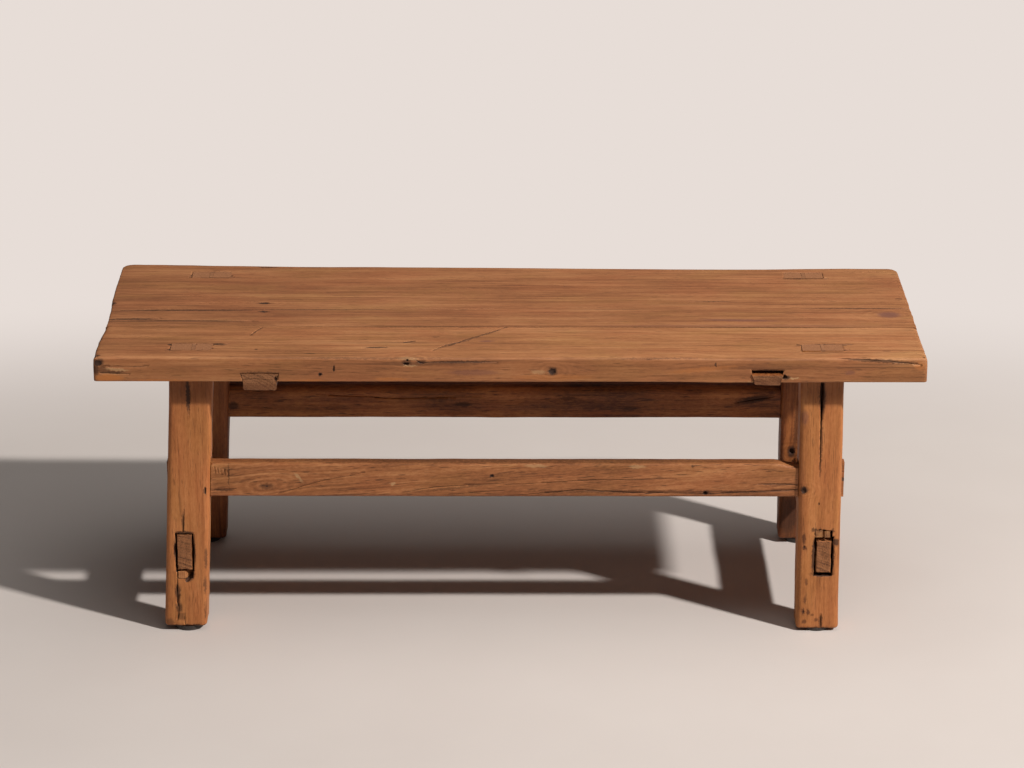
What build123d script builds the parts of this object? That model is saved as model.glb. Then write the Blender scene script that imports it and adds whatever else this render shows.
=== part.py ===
"""A low kang table: a two-board top on four splayed legs, tied by stretchers.

Nothing is glued or screwed. Each leg goes through the top on a wedged tenon, each stretcher goes
through the legs on a wedged tenon, and two tapered dovetail battens hold the boards flat.
X runs along the table with its left end at -X, the front is at -Y and +Z is up. The origin is on
the floor, at the middle of the bounding box. Sizes are in millimetres.
"""

import math
import os

from build123d import *

os.makedirs("parts", exist_ok=True)

# ---------------------------------------------------------------------------------------------
# Driving sizes
# ---------------------------------------------------------------------------------------------

# The top
TABLE_HEIGHT = 439.0  # floor to the upper face
TOP_LENGTH = 1200.0
TOP_DEPTH = 432.0  # at the left end: the rear edge isn't parallel to the front one
REAR_EDGE_FALL = 21.0  # how much less the depth is where the top is narrowest
NARROWEST_FROM_RIGHT_END = 270.0
RIGHT_END_FALL = 16.0  # how much less it is at the right end
BOARD_THICKNESS = 38.0
FRONT_BOARD_DEPTH = 135.0
SEAM_GAP = 0.3  # between the two boards
LEFT_END_DENT = 4.0  # how far the left end is worn back at the seam
DENT_IN_FRONT_BOARD = 75.0  # how far the dent runs from the seam
DENT_IN_REAR_BOARD = 120.0
FRONT_CORNER_RADIUS = 9.0
REAR_LEFT_CORNER_RADIUS = 30.0
REAR_RIGHT_CORNER_RADIUS = 22.0
UPPER_ARRIS_RADIUS = 8.0
LOWER_ARRIS_RADIUS = 3.0

# Where the leg tenons come through the top
LEFT_OVERHANG = 141.5  # the end of the top to the middle of the tenon
RIGHT_OVERHANG = 148.0
FRONT_OVERHANG = 45.5
REAR_OVERHANG = 54.0  # from the top's rear left corner

# The legs
LEG_WIDTH = 64.0  # along X
LEG_DEPTH = 46.0  # along Y
LEG_CORNER_RADIUS = 8.0
FOOT_ROUNDING = 5.0
LEFT_SPLAY = 2.5  # degrees outwards: the frame has racked, so the left legs lean more
RIGHT_SPLAY = 0.6
DEPTH_SPLAY = 1.1  # degrees outwards, to the front and to the rear
LEG_TENON_SHOULDER = 2.0  # at each side of the tenon, along X
LEG_TENON_DEPTH = 27.0  # along Y
LEG_SETBACK = 6.0  # the leg's middle lies this far inboard of its tenon's, along Y

# The end stretchers, low down between a front and a rear leg
END_STRETCHER_BOTTOM = 96.0  # of the left one
RIGHT_END_STRETCHER_DROP = 6.0  # the right one lies this much lower
END_STRETCHER_HEIGHT = 59.0
END_STRETCHER_THICKNESS = 34.0
END_STRETCHER_OUTSET = 7.0  # its middle lies outboard of the middle of the leg
END_TENON_THICKNESS = 24.0
END_STRETCHER_ARRIS = 4.0

# The long stretchers, higher up between a left and a right leg
STRETCHER_STAGGER = 54.5  # clear height from the left end stretcher up to the long ones
LONG_STRETCHER_HEIGHT = 54.0
LONG_STRETCHER_THICKNESS = 32.0
LONG_TENON_THICKNESS = 22.0
LONG_STRETCHER_ARRIS = 5.0
LONG_STRETCHER_INNER_ARRIS = 14.0  # the upper one on the side that faces the other stretcher
LEFT_TENON_PROUD = 0.0  # how far the long tenons stand out of the leg
RIGHT_TENON_PROUD = 3.5

# The dovetail battens: each is driven in at its wide end, one from the front, one from the rear
BATTEN_WIDE_END = 56.0
BATTEN_NARROW_END = 46.0
BATTEN_FLARE = 3.5  # each flank leans in by this much between its top and the board's underside
LEFT_BATTEN_INSET = 97.5  # the middle of the leg tenon to the middle of the batten
RIGHT_BATTEN_INSET = 82.0
HOUSING_DEPTH = 13.5  # how far the battens reach up into the boards
LEFT_BATTEN_DROP = 13.5  # how far the batten hangs below the boards
RIGHT_BATTEN_DROP = 5.0
RIGHT_HOUSING_SLACK = 4.0  # the right batten has sunk in its housing and left a gap above it

# Wedges
FIT = 0.2  # clearance at each face of a joint
SPLIT_WEDGE_HEAD = 5.0  # the wedges driven into a saw cut in a tenon's end
SPLIT_WEDGE_TIP = 1.5
LEG_WEDGE_LENGTH = 28.0
LONG_WEDGE_LENGTH = 36.0
KEY_WEDGE_HEAD = 12.0  # the wedges driven in above or below an end stretcher's tenon
KEY_WEDGE_TIP = 5.0
KEY_WEDGE_LENGTH = 38.0

# Bamboo pins across the seam, and the pads under the feet
PIN_COUNT = 4
PIN_DIAMETER = 8.0
PIN_LENGTH = 50.0
PIN_HOLE_CLEARANCE = 0.1  # on the radius
PIN_HOLE_SPARE_LENGTH = 1.0
PAD_DIAMETER = 43.0
PAD_THICKNESS = 7.0
PAD_ROUNDING = 1.0

# A cutting shape reaches this far past the face that it opens
OVERCUT = 5.0

# ---------------------------------------------------------------------------------------------
# What follows from them
# ---------------------------------------------------------------------------------------------

LEFT, RIGHT, FRONT, REAR = -1, 1, -1, 1
SIDES = {"left": LEFT, "right": RIGHT}
ROWS = {"front": FRONT, "rear": REAR}

HALF_LENGTH = TOP_LENGTH / 2
FRONT_EDGE = -TOP_DEPTH / 2
NARROWEST_X = HALF_LENGTH - NARROWEST_FROM_RIGHT_END
NARROWEST_DEPTH = TOP_DEPTH - REAR_EDGE_FALL
RIGHT_END_DEPTH = TOP_DEPTH - RIGHT_END_FALL
SEAM_Y = FRONT_EDGE + FRONT_BOARD_DEPTH
BOARD_BOTTOM = TABLE_HEIGHT - BOARD_THICKNESS
LONG_STRETCHER_BOTTOM = END_STRETCHER_BOTTOM + END_STRETCHER_HEIGHT + STRETCHER_STAGGER
LONG_STRETCHER_TOP = LONG_STRETCHER_BOTTOM + LONG_STRETCHER_HEIGHT
LONG_STRETCHER_MIDDLE = (LONG_STRETCHER_BOTTOM + LONG_STRETCHER_TOP) / 2
LEG_TENON_WIDTH = LEG_WIDTH - 2 * LEG_TENON_SHOULDER

# A key wedge lies above an end stretcher's tenon, but below it in the front left leg
KEY_WEDGE_SIDE = {(LEFT, FRONT): -1, (RIGHT, FRONT): 1, (LEFT, REAR): 1, (RIGHT, REAR): 1}


def rear_edge(x):
    """Where the rear edge lies at a place along the table: two runs that meet where it's narrowest."""
    if x < NARROWEST_X:
        share = (x + HALF_LENGTH) / (NARROWEST_X + HALF_LENGTH)
        depth = TOP_DEPTH + (NARROWEST_DEPTH - TOP_DEPTH) * share
    else:
        share = (x - NARROWEST_X) / (HALF_LENGTH - NARROWEST_X)
        depth = NARROWEST_DEPTH + (RIGHT_END_DEPTH - NARROWEST_DEPTH) * share
    return FRONT_EDGE + depth


def tenon_place(side, row):
    """The middle of a leg's tenon in the top's upper face."""
    x = -HALF_LENGTH + LEFT_OVERHANG if side == LEFT else HALF_LENGTH - RIGHT_OVERHANG
    y = FRONT_EDGE + FRONT_OVERHANG if row == FRONT else TOP_DEPTH / 2 - REAR_OVERHANG
    return x, y


def tenon_centre(side, row, height):
    """The middle of a leg's tenon at a height above the floor, or where it would be there."""
    x, y = tenon_place(side, row)
    fall = TABLE_HEIGHT - height
    lean = LEFT_SPLAY if side == LEFT else RIGHT_SPLAY
    x_there = x + side * fall * math.tan(math.radians(lean))
    y_there = y + row * fall * math.tan(math.radians(DEPTH_SPLAY))
    return x_there, y_there


def leg_centre(side, row, height):
    """The middle of a leg at a height above the floor: legs lean out on their way down."""
    x, y = tenon_centre(side, row, height)
    return x, y - row * LEG_SETBACK


def plane_at_y(y):
    """An upright plane across the table's depth: its own x and y are the table's X and Z."""
    return Plane.XZ.offset(-y)


def plane_at_x(x):
    """An upright plane across the table's length: its own x and y are the table's Y and Z."""
    return Plane.YZ.offset(x)


def outline(plane, points):
    """A closed straight-sided face on a plane."""
    with BuildSketch(plane) as face:
        with BuildLine():
            Polyline(*points, close=True)
        make_face()
    return face.sketch


def rectangle(plane, centre, width, height, radius=0):
    """A rectangular face on a plane, with round corners if it has a radius."""
    with BuildSketch(plane) as face:
        with Locations(centre):
            if radius:
                RectangleRounded(width, height, radius)
            else:
                Rectangle(width, height)
    return face.sketch


def write(part, name):
    """Labels a finished piece and writes its STEP file."""
    part.label = name
    export_step(part, f"parts/{name}.step")


# ---------------------------------------------------------------------------------------------
# Profiles that a piece and its seat share. clearance is 0 for the piece itself.
# ---------------------------------------------------------------------------------------------


def batten_middle(side):
    """Where a batten's middle line lies along the table."""
    x, _ = tenon_place(side, FRONT)
    return x + LEFT_BATTEN_INSET if side == LEFT else x - RIGHT_BATTEN_INSET


def batten_section(side, y, clearance, slack, drop):
    """A batten's section at a place along its length. slack opens its housing further above it."""
    x = batten_middle(side)
    from_front = (y - FRONT_EDGE) / (rear_edge(x) - FRONT_EDGE)
    wide, narrow = BATTEN_WIDE_END, BATTEN_NARROW_END
    at_front, at_rear = (wide, narrow) if side == LEFT else (narrow, wide)
    half_neck = (at_front + (at_rear - at_front) * from_front) / 2 - BATTEN_FLARE + clearance
    half_top = half_neck + BATTEN_FLARE * (HOUSING_DEPTH + slack) / HOUSING_DEPTH
    top = BOARD_BOTTOM + HOUSING_DEPTH + slack
    points = [
        (x - half_neck, BOARD_BOTTOM - drop),
        (x + half_neck, BOARD_BOTTOM - drop),
        (x + half_neck, BOARD_BOTTOM),
        (x + half_top, top),
        (x - half_top, top),
        (x - half_neck, BOARD_BOTTOM),
    ]
    return outline(plane_at_y(y), points)


def taper(head, tip, length, at):
    """A wedge's thickness at a distance from its head, negative outside the mouth of its cut."""
    return head + (tip - head) * at / length


def leg_wedge_sections(side, row, clearance, reach):
    """The wedge in the end of a leg's tenon, as its upper and lower sections: it leans too."""
    sections = []
    for at in (-reach, LEG_WEDGE_LENGTH + clearance):
        z = TABLE_HEIGHT - at
        thickness = taper(SPLIT_WEDGE_HEAD, SPLIT_WEDGE_TIP, LEG_WEDGE_LENGTH, at)
        size = thickness + 2 * clearance, LEG_TENON_DEPTH + 2 * clearance
        sections.append(rectangle(Plane.XY.offset(z), tenon_centre(side, row, z), *size))
    return sections


def long_wedge_profile(side, row, clearance, reach):
    """The level wedge in the end of a long stretcher's tenon, as a face in X and Z."""
    _, y = leg_centre(side, row, LONG_STRETCHER_MIDDLE)
    mouth = long_tenon_end(side, LONG_STRETCHER_MIDDLE)
    upper, lower = [], []
    for at in (-reach, LONG_WEDGE_LENGTH + clearance):
        x = mouth - side * at
        half = taper(SPLIT_WEDGE_HEAD, SPLIT_WEDGE_TIP, LONG_WEDGE_LENGTH, at) / 2 + clearance
        upper.append((x, LONG_STRETCHER_MIDDLE + half))
        lower.append((x, LONG_STRETCHER_MIDDLE - half))
    return outline(plane_at_y(y), upper + lower[::-1])


def key_wedge_profile(side, row, gap, clearance, reach):
    """The wedge beside an end stretcher's tenon, as a face in Y and Z, gap away from the tenon."""
    up = KEY_WEDGE_SIDE[side, row]
    low, high = end_stretcher_span(side)
    base = (high if up > 0 else low) + up * gap
    _, y = leg_centre(side, row, base)
    mouth = y + row * LEG_DEPTH / 2
    far, near = [], []
    for at in (-reach, KEY_WEDGE_LENGTH + clearance):
        thickness = taper(KEY_WEDGE_HEAD, KEY_WEDGE_TIP, KEY_WEDGE_LENGTH, at) + clearance
        far.append((mouth - row * at, base + up * thickness))
        near.append((mouth - row * at, base))
    return outline(plane_at_x(end_stretcher_x(side)), far + near[::-1])


def end_stretcher_span(side):
    """The bottom and top of an end stretcher."""
    low = END_STRETCHER_BOTTOM - (RIGHT_END_STRETCHER_DROP if side == RIGHT else 0)
    return low, low + END_STRETCHER_HEIGHT


def end_stretcher_x(side):
    """Where an end stretcher's middle lies along the table."""
    x, _ = leg_centre(side, FRONT, sum(end_stretcher_span(side)) / 2)
    return x + side * END_STRETCHER_OUTSET


def long_tenon_end(side, height):
    """Where a long stretcher's tenon ends: level with the leg's outer face, or proud of it."""
    x, _ = leg_centre(side, FRONT, height)
    proud = LEFT_TENON_PROUD if side == LEFT else RIGHT_TENON_PROUD
    return x + side * (LEG_WIDTH / 2 + proud)


def long_shoulder(side, height):
    """Where a long stretcher's shoulder meets the inner face of a leg."""
    x, _ = leg_centre(side, FRONT, height)
    return x - side * (LEG_WIDTH / 2 + FIT)


# ---------------------------------------------------------------------------------------------
# The top: two boards, and the pins between them
# ---------------------------------------------------------------------------------------------


def cut_leg_mortise(side, row):
    """Cuts a leaning mortise for a leg's tenon through the board being built."""
    width, depth = LEG_TENON_WIDTH + 2 * FIT, LEG_TENON_DEPTH + 2 * FIT
    heights = BOARD_BOTTOM - OVERCUT, TABLE_HEIGHT + OVERCUT
    sections = [
        rectangle(Plane.XY.offset(z), tenon_centre(side, row, z), width, depth) for z in heights
    ]
    loft(sections, ruled=True, mode=Mode.SUBTRACT)


def cut_batten_housing(side):
    """Cuts a batten's tapered dovetail housing across the board being built."""
    slack = FIT if side == LEFT else RIGHT_HOUSING_SLACK
    ends = FRONT_EDGE - OVERCUT, rear_edge(batten_middle(side)) + OVERCUT
    sections = [batten_section(side, y, FIT, slack, OVERCUT) for y in ends]
    loft(sections, ruled=True, mode=Mode.SUBTRACT)


def cut_pin_holes():
    """Drills the board being built for the pins in the seam."""
    radius, length = PIN_DIAMETER / 2 + PIN_HOLE_CLEARANCE, PIN_LENGTH + PIN_HOLE_SPARE_LENGTH
    with Locations(*pin_places()):
        Cylinder(radius, length, rotation=(90, 0, 0), mode=Mode.SUBTRACT)


def pin_places():
    """The middles of the pins, evenly spaced along the seam."""
    pitch = TOP_LENGTH / PIN_COUNT
    first = -HALF_LENGTH + pitch / 2
    z = BOARD_BOTTOM + BOARD_THICKNESS / 2
    return [(first + pitch * n, SEAM_Y, z) for n in range(PIN_COUNT)]


def finish_board(board, row, seam_face):
    """Rounds a board's arrises, except along the seam, and cuts its mortises and housings."""
    kept_sharp = seam_face.edges()
    upper_face = board.faces().sort_by(Axis.Z)[-1]
    fillet(upper_face.edges() - kept_sharp, UPPER_ARRIS_RADIUS)
    lower_face = board.faces().filter_by(Axis.Z).sort_by(Axis.Z)[0]
    fillet(lower_face.edges() - kept_sharp, LOWER_ARRIS_RADIUS)
    for side in SIDES.values():
        cut_leg_mortise(side, row)
        cut_batten_housing(side)
    cut_pin_holes()


with BuildPart() as top_front_board:
    with BuildSketch(Plane.XY.offset(BOARD_BOTTOM)):
        seam_y = SEAM_Y - SEAM_GAP / 2
        dent_start = (-HALF_LENGTH, SEAM_Y - DENT_IN_FRONT_BOARD)
        dent_bottom = (-HALF_LENGTH + LEFT_END_DENT, seam_y)
        with BuildLine():
            left_end = Line((-HALF_LENGTH, FRONT_EDGE), dent_start)
            TangentArc(dent_start, dent_bottom, tangent=left_end % 1)
            Polyline(
                dent_bottom,
                (HALF_LENGTH, seam_y),
                (HALF_LENGTH, FRONT_EDGE),
                (-HALF_LENGTH, FRONT_EDGE),
            )
        make_face()
    extrude(amount=BOARD_THICKNESS)
    corners = top_front_board.edges().filter_by(Axis.Z).group_by(Axis.Y)[0]
    fillet(corners, FRONT_CORNER_RADIUS)
    finish_board(top_front_board, FRONT, top_front_board.faces().sort_by(Axis.Y)[-1])
write(top_front_board.part, "top_front_board")

with BuildPart() as top_rear_board:
    with BuildSketch(Plane.XY.offset(BOARD_BOTTOM)):
        seam_y = SEAM_Y + SEAM_GAP / 2
        dent_start = (-HALF_LENGTH, SEAM_Y + DENT_IN_REAR_BOARD)
        dent_bottom = (-HALF_LENGTH + LEFT_END_DENT, seam_y)
        rear_left = (-HALF_LENGTH, rear_edge(-HALF_LENGTH))
        rear_right = (HALF_LENGTH, rear_edge(HALF_LENGTH))
        narrowest = (NARROWEST_X, rear_edge(NARROWEST_X))
        with BuildLine():
            left_end = Line(rear_left, dent_start)
            TangentArc(dent_start, dent_bottom, tangent=left_end % 1)
            Polyline(dent_bottom, (HALF_LENGTH, seam_y), rear_right, narrowest, rear_left)
        make_face()
    extrude(amount=BOARD_THICKNESS)
    upright = top_rear_board.edges().filter_by(Axis.Z)
    fillet(upright.sort_by_distance(rear_left)[0], REAR_LEFT_CORNER_RADIUS)
    fillet(upright.sort_by_distance(rear_right)[0], REAR_RIGHT_CORNER_RADIUS)
    finish_board(top_rear_board, REAR, top_rear_board.faces().sort_by(Axis.Y)[0])
write(top_rear_board.part, "top_rear_board")

with BuildPart() as seam_pins:
    with Locations(*pin_places()):
        Cylinder(PIN_DIAMETER / 2, PIN_LENGTH, rotation=(90, 0, 0))
write(seam_pins.part, "seam_pins")

# ---------------------------------------------------------------------------------------------
# The battens
# ---------------------------------------------------------------------------------------------

for side_name, side in SIDES.items():
    drop = LEFT_BATTEN_DROP if side == LEFT else RIGHT_BATTEN_DROP
    ends = FRONT_EDGE, rear_edge(batten_middle(side))
    with BuildPart() as batten:
        loft([batten_section(side, y, 0, 0, drop) for y in ends], ruled=True)
    write(batten.part, f"batten_{side_name}")

# ---------------------------------------------------------------------------------------------
# The legs, and the pads under them
# ---------------------------------------------------------------------------------------------


def make_leg(side, row):
    """A leaning leg with rounded corners, from the top of its pad to the top's upper face."""
    x, y = leg_centre(side, row, LONG_STRETCHER_MIDDLE)
    with BuildPart() as leg:
        heights = PAD_THICKNESS, BOARD_BOTTOM
        sections = [
            rectangle(
                Plane.XY.offset(z), leg_centre(side, row, z), LEG_WIDTH, LEG_DEPTH, LEG_CORNER_RADIUS
            )
            for z in heights
        ]
        loft(sections, ruled=True)
        fillet(leg.faces().sort_by(Axis.Z)[0].edges(), FOOT_ROUNDING)

        # The tenon, with the saw cut for its wedge
        heights = BOARD_BOTTOM, TABLE_HEIGHT
        sections = [
            rectangle(
                Plane.XY.offset(z), tenon_centre(side, row, z), LEG_TENON_WIDTH, LEG_TENON_DEPTH
            )
            for z in heights
        ]
        loft(sections, ruled=True)
        loft(leg_wedge_sections(side, row, FIT, OVERCUT), ruled=True, mode=Mode.SUBTRACT)

        # The mortise for the long stretcher, along X
        mouth = LEG_WIDTH + 2 * OVERCUT, LONG_STRETCHER_HEIGHT + 2 * FIT
        cut = rectangle(plane_at_y(y), (x, LONG_STRETCHER_MIDDLE), *mouth)
        extrude(cut, amount=LONG_TENON_THICKNESS / 2 + FIT, both=True, mode=Mode.SUBTRACT)

        # The mortise for the end stretcher, along Y, with the pocket for its wedge
        mouth = LEG_DEPTH + 2 * OVERCUT, END_STRETCHER_HEIGHT + 2 * FIT
        middle = sum(end_stretcher_span(side)) / 2
        _, y = leg_centre(side, row, middle)
        cut = rectangle(plane_at_x(end_stretcher_x(side)), (y, middle), *mouth)
        extrude(cut, amount=END_TENON_THICKNESS / 2 + FIT, both=True, mode=Mode.SUBTRACT)
        cut = key_wedge_profile(side, row, 0, 2 * FIT, OVERCUT)
        extrude(cut, amount=END_TENON_THICKNESS / 2 + FIT, both=True, mode=Mode.SUBTRACT)
    return leg.part


def make_pad(side, row):
    """The round pad that a foot stands on."""
    with BuildPart() as pad:
        with BuildSketch():
            with Locations(leg_centre(side, row, PAD_THICKNESS)):
                Circle(PAD_DIAMETER / 2)
        extrude(amount=PAD_THICKNESS)
        fillet(pad.edges().group_by(Axis.Z)[0], PAD_ROUNDING)
    return pad.part


# ---------------------------------------------------------------------------------------------
# The stretchers: a body with rounded arrises, and a thinner bar through it for the tenons
# ---------------------------------------------------------------------------------------------


def make_long_stretcher(row):
    """A long stretcher between a left and a right leg, with a split tenon at each end."""
    _, y = leg_centre(LEFT, row, LONG_STRETCHER_MIDDLE)

    def side_view(end):
        """The stretcher's outline between two ends, which follow the lean of the legs."""
        low, high = LONG_STRETCHER_BOTTOM, LONG_STRETCHER_TOP
        corners = (LEFT, low), (RIGHT, low), (RIGHT, high), (LEFT, high)
        return outline(plane_at_y(y), [(end(side, z), z) for side, z in corners])

    with BuildPart() as stretcher:
        extrude(side_view(long_shoulder), amount=LONG_STRETCHER_THICKNESS / 2, both=True)
        arrises = stretcher.edges().filter_by(Axis.X)
        upper = arrises.group_by(Axis.Z)[-1].sort_by(Axis.Y)
        inner = upper[-1] if row == FRONT else upper[0]
        fillet(inner, LONG_STRETCHER_INNER_ARRIS)
        fillet(arrises - [inner], LONG_STRETCHER_ARRIS)
        extrude(side_view(long_tenon_end), amount=LONG_TENON_THICKNESS / 2, both=True)
        for side in SIDES.values():
            cut = long_wedge_profile(side, row, FIT, OVERCUT)
            extrude(cut, amount=LONG_TENON_THICKNESS, both=True, mode=Mode.SUBTRACT)
    return stretcher.part


def make_end_stretcher(side):
    """An end stretcher between a front and a rear leg, with a through tenon at each end."""

    def side_view(reach):
        """The stretcher's outline, which ends at a reach outwards from the middles of the legs."""
        low, high = end_stretcher_span(side)
        corners = []
        for row, z in ((FRONT, low), (REAR, low), (REAR, high), (FRONT, high)):
            _, y = leg_centre(side, row, z)
            corners.append((y + row * reach, z))
        return outline(plane_at_x(end_stretcher_x(side)), corners)

    with BuildPart() as stretcher:
        shoulder = -(LEG_DEPTH / 2 + FIT)
        extrude(side_view(shoulder), amount=END_STRETCHER_THICKNESS / 2, both=True)
        fillet(stretcher.edges().filter_by(Axis.Y), END_STRETCHER_ARRIS)
        extrude(side_view(LEG_DEPTH / 2), amount=END_TENON_THICKNESS / 2, both=True)
    return stretcher.part


# ---------------------------------------------------------------------------------------------
# The wedges
# ---------------------------------------------------------------------------------------------


def make_leg_wedge(side, row):
    """The wedge in the end of a leg's tenon, level with the upper face of the top."""
    with BuildPart() as wedge:
        loft(leg_wedge_sections(side, row, 0, 0), ruled=True)
    return wedge.part


def make_wedge(profile, thickness):
    """A wedge, from its outline and its thickness."""
    with BuildPart() as wedge:
        extrude(profile, amount=thickness / 2, both=True)
    return wedge.part


for row_name, row in ROWS.items():
    write(make_long_stretcher(row), f"long_stretcher_{row_name}")
    for side_name, side in SIDES.items():
        corner = f"{row_name}_{side_name}"
        write(make_leg(side, row), f"leg_{corner}")
        write(make_pad(side, row), f"foot_pad_{corner}")
        write(make_leg_wedge(side, row), f"leg_wedge_{corner}")
        long_wedge = make_wedge(long_wedge_profile(side, row, 0, 0), LONG_TENON_THICKNESS)
        write(long_wedge, f"long_wedge_{corner}")
        key_wedge = make_wedge(key_wedge_profile(side, row, FIT, 0, 0), END_TENON_THICKNESS)
        write(key_wedge, f"key_wedge_{corner}")

for side_name, side in SIDES.items():
    write(make_end_stretcher(side), f"end_stretcher_{side_name}")
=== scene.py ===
# %% [markdown]
# # A low kang table in old elm
#
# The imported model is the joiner's work: every board, leg, stretcher, batten and wedge at its real
# size. It has the crisp faces of new wood. The real table is a century of use further on: its
# boards are dished, its arrises are soft, its mortises gape, and cracks run from the ends. This
# lesson models each visible piece again with that wear, in the place that the frame gives.

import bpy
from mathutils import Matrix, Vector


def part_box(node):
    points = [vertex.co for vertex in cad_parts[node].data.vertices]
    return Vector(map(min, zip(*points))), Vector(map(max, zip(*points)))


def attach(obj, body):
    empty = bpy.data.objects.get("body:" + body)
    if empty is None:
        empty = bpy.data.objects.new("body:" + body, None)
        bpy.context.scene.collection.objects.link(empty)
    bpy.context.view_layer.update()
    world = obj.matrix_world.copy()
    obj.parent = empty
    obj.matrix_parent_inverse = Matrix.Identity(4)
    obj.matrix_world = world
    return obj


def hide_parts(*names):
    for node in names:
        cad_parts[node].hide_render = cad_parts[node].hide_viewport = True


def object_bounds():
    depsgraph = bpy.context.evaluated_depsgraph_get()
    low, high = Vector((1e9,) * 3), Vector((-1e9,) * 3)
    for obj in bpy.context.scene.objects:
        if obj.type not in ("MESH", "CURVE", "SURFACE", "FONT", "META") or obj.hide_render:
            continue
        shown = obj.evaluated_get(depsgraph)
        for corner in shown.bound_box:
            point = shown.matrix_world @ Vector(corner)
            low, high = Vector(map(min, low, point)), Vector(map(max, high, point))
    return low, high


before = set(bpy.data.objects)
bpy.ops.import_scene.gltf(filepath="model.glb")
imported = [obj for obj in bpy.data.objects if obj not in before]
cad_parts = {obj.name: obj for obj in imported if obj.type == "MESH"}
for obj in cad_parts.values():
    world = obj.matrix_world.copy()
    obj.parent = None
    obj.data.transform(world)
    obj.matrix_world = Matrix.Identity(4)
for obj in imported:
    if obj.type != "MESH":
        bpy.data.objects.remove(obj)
cad_low, cad_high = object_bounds()
print("the frame's box, in metres:", tuple(cad_low), tuple(cad_high))

# %% [markdown]
# Blender measures in metres. A joiner thinks in millimetres, so sizes are written in them and
# turned into metres with MM.

# %% Blender's modules
import math
import random
from contextlib import contextmanager

import bmesh
import bpy
from mathutils import Euler, Matrix, Vector

MM = 0.001
HAIR = 1e-5  # metres: places closer than this are the same
X, Y, Z = 0, 1, 2
ALONG, UPWARDS, DOWNWARDS, FORWARDS = (1, 0, 0), (0, 0, 1), (0, 0, -1), (0, -1, 0)
scene = bpy.context.scene

# %% [markdown]
# ## The camera
#
# The table is seen from the front, a little from above, through a long lens that keeps its
# uprights upright. A long lens needs a far camera, so it stands almost five metres away.

# %% The camera
CAMERA_PLACE = (-0.0235, -4.8112, 2.0812)
LOOKS_DOWN = 20.11  # degrees below level
TURNED_RIGHT = 0.318
HEAD_TILT = 0.175
SENSOR = 36.0  # millimetres
LENS = 119.53

bpy.ops.object.camera_add(location=CAMERA_PLACE)
camera = bpy.context.object
aim = Euler((math.radians(90 - LOOKS_DOWN), 0, math.radians(-TURNED_RIGHT)))
tilt = Matrix.Rotation(math.radians(HEAD_TILT), 3, "Z")
camera.rotation_euler = (aim.to_matrix() @ tilt).to_euler()
camera.data.sensor_width = SENSOR
camera.data.lens = LENS
scene.camera = camera
print("the camera looks down by", LOOKS_DOWN, "degrees")

# %% [markdown]
# ## The light
#
# One lamp stands high on the right, in front of the table, and draws the shadows back and to the
# left. A wide soft box hangs overhead and fills them from above, so that it stays dark under the
# top. With a weak, even world, these light a level surface at about the brightness at which its
# colour is written.

# %% The lamps and the world
KEY_PLACE = Vector((4.95, -3.2, 5.4))
KEY_SIZE = 0.36
KEY_POWER = 655.0
BOX_PLACE = Vector((0.3, -0.2, 3.6))
BOX_SIZE = 3.0
BOX_POWER = 36.0
WORLD_STRENGTH = 0.06


def add_lamp(name, place, size, power, colour):
    """A square lamp that faces the middle of the table."""
    bpy.ops.object.light_add(type="AREA", location=place)
    lamp = bpy.context.object
    lamp.name = name
    lamp.data.size = size
    lamp.data.energy = power
    lamp.data.color = colour
    middle = (cad_low + cad_high) / 2
    lamp.rotation_euler = (middle - place).to_track_quat("-Z", "Y").to_euler()


add_lamp("key_lamp", KEY_PLACE, KEY_SIZE, KEY_POWER, (1.0, 0.98, 0.955))
add_lamp("soft_box", BOX_PLACE, BOX_SIZE, BOX_POWER, (1.0, 0.98, 0.96))

world = bpy.data.worlds.new("studio")
world.use_nodes = True
world.node_tree.nodes["Background"].inputs["Color"].default_value = (1.0, 0.98, 0.96, 1)
world.node_tree.nodes["Background"].inputs["Strength"].default_value = WORLD_STRENGTH
scene.world = world
scene.view_settings.view_transform = "Standard"

# %% [markdown]
# ## A recipe for a finish
#
# Every finish here is a chain of shader nodes. Nodes are wordy to set up, so a recipe adds one
# node at a time and returns its output, which then feeds the next one. Colours are written as on
# a painter's card, from 0 to 255, and turned into the light values that Blender reckons with.


# %% The recipe
def paint(red, green, blue):
    """A card colour as the linear light that a shader wants."""
    shares = [c / 255 for c in (red, green, blue)]
    linear = [s / 12.92 if s <= 0.04045 else ((s + 0.055) / 1.055) ** 2.4 for s in shares]
    return (*linear, 1)


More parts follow.
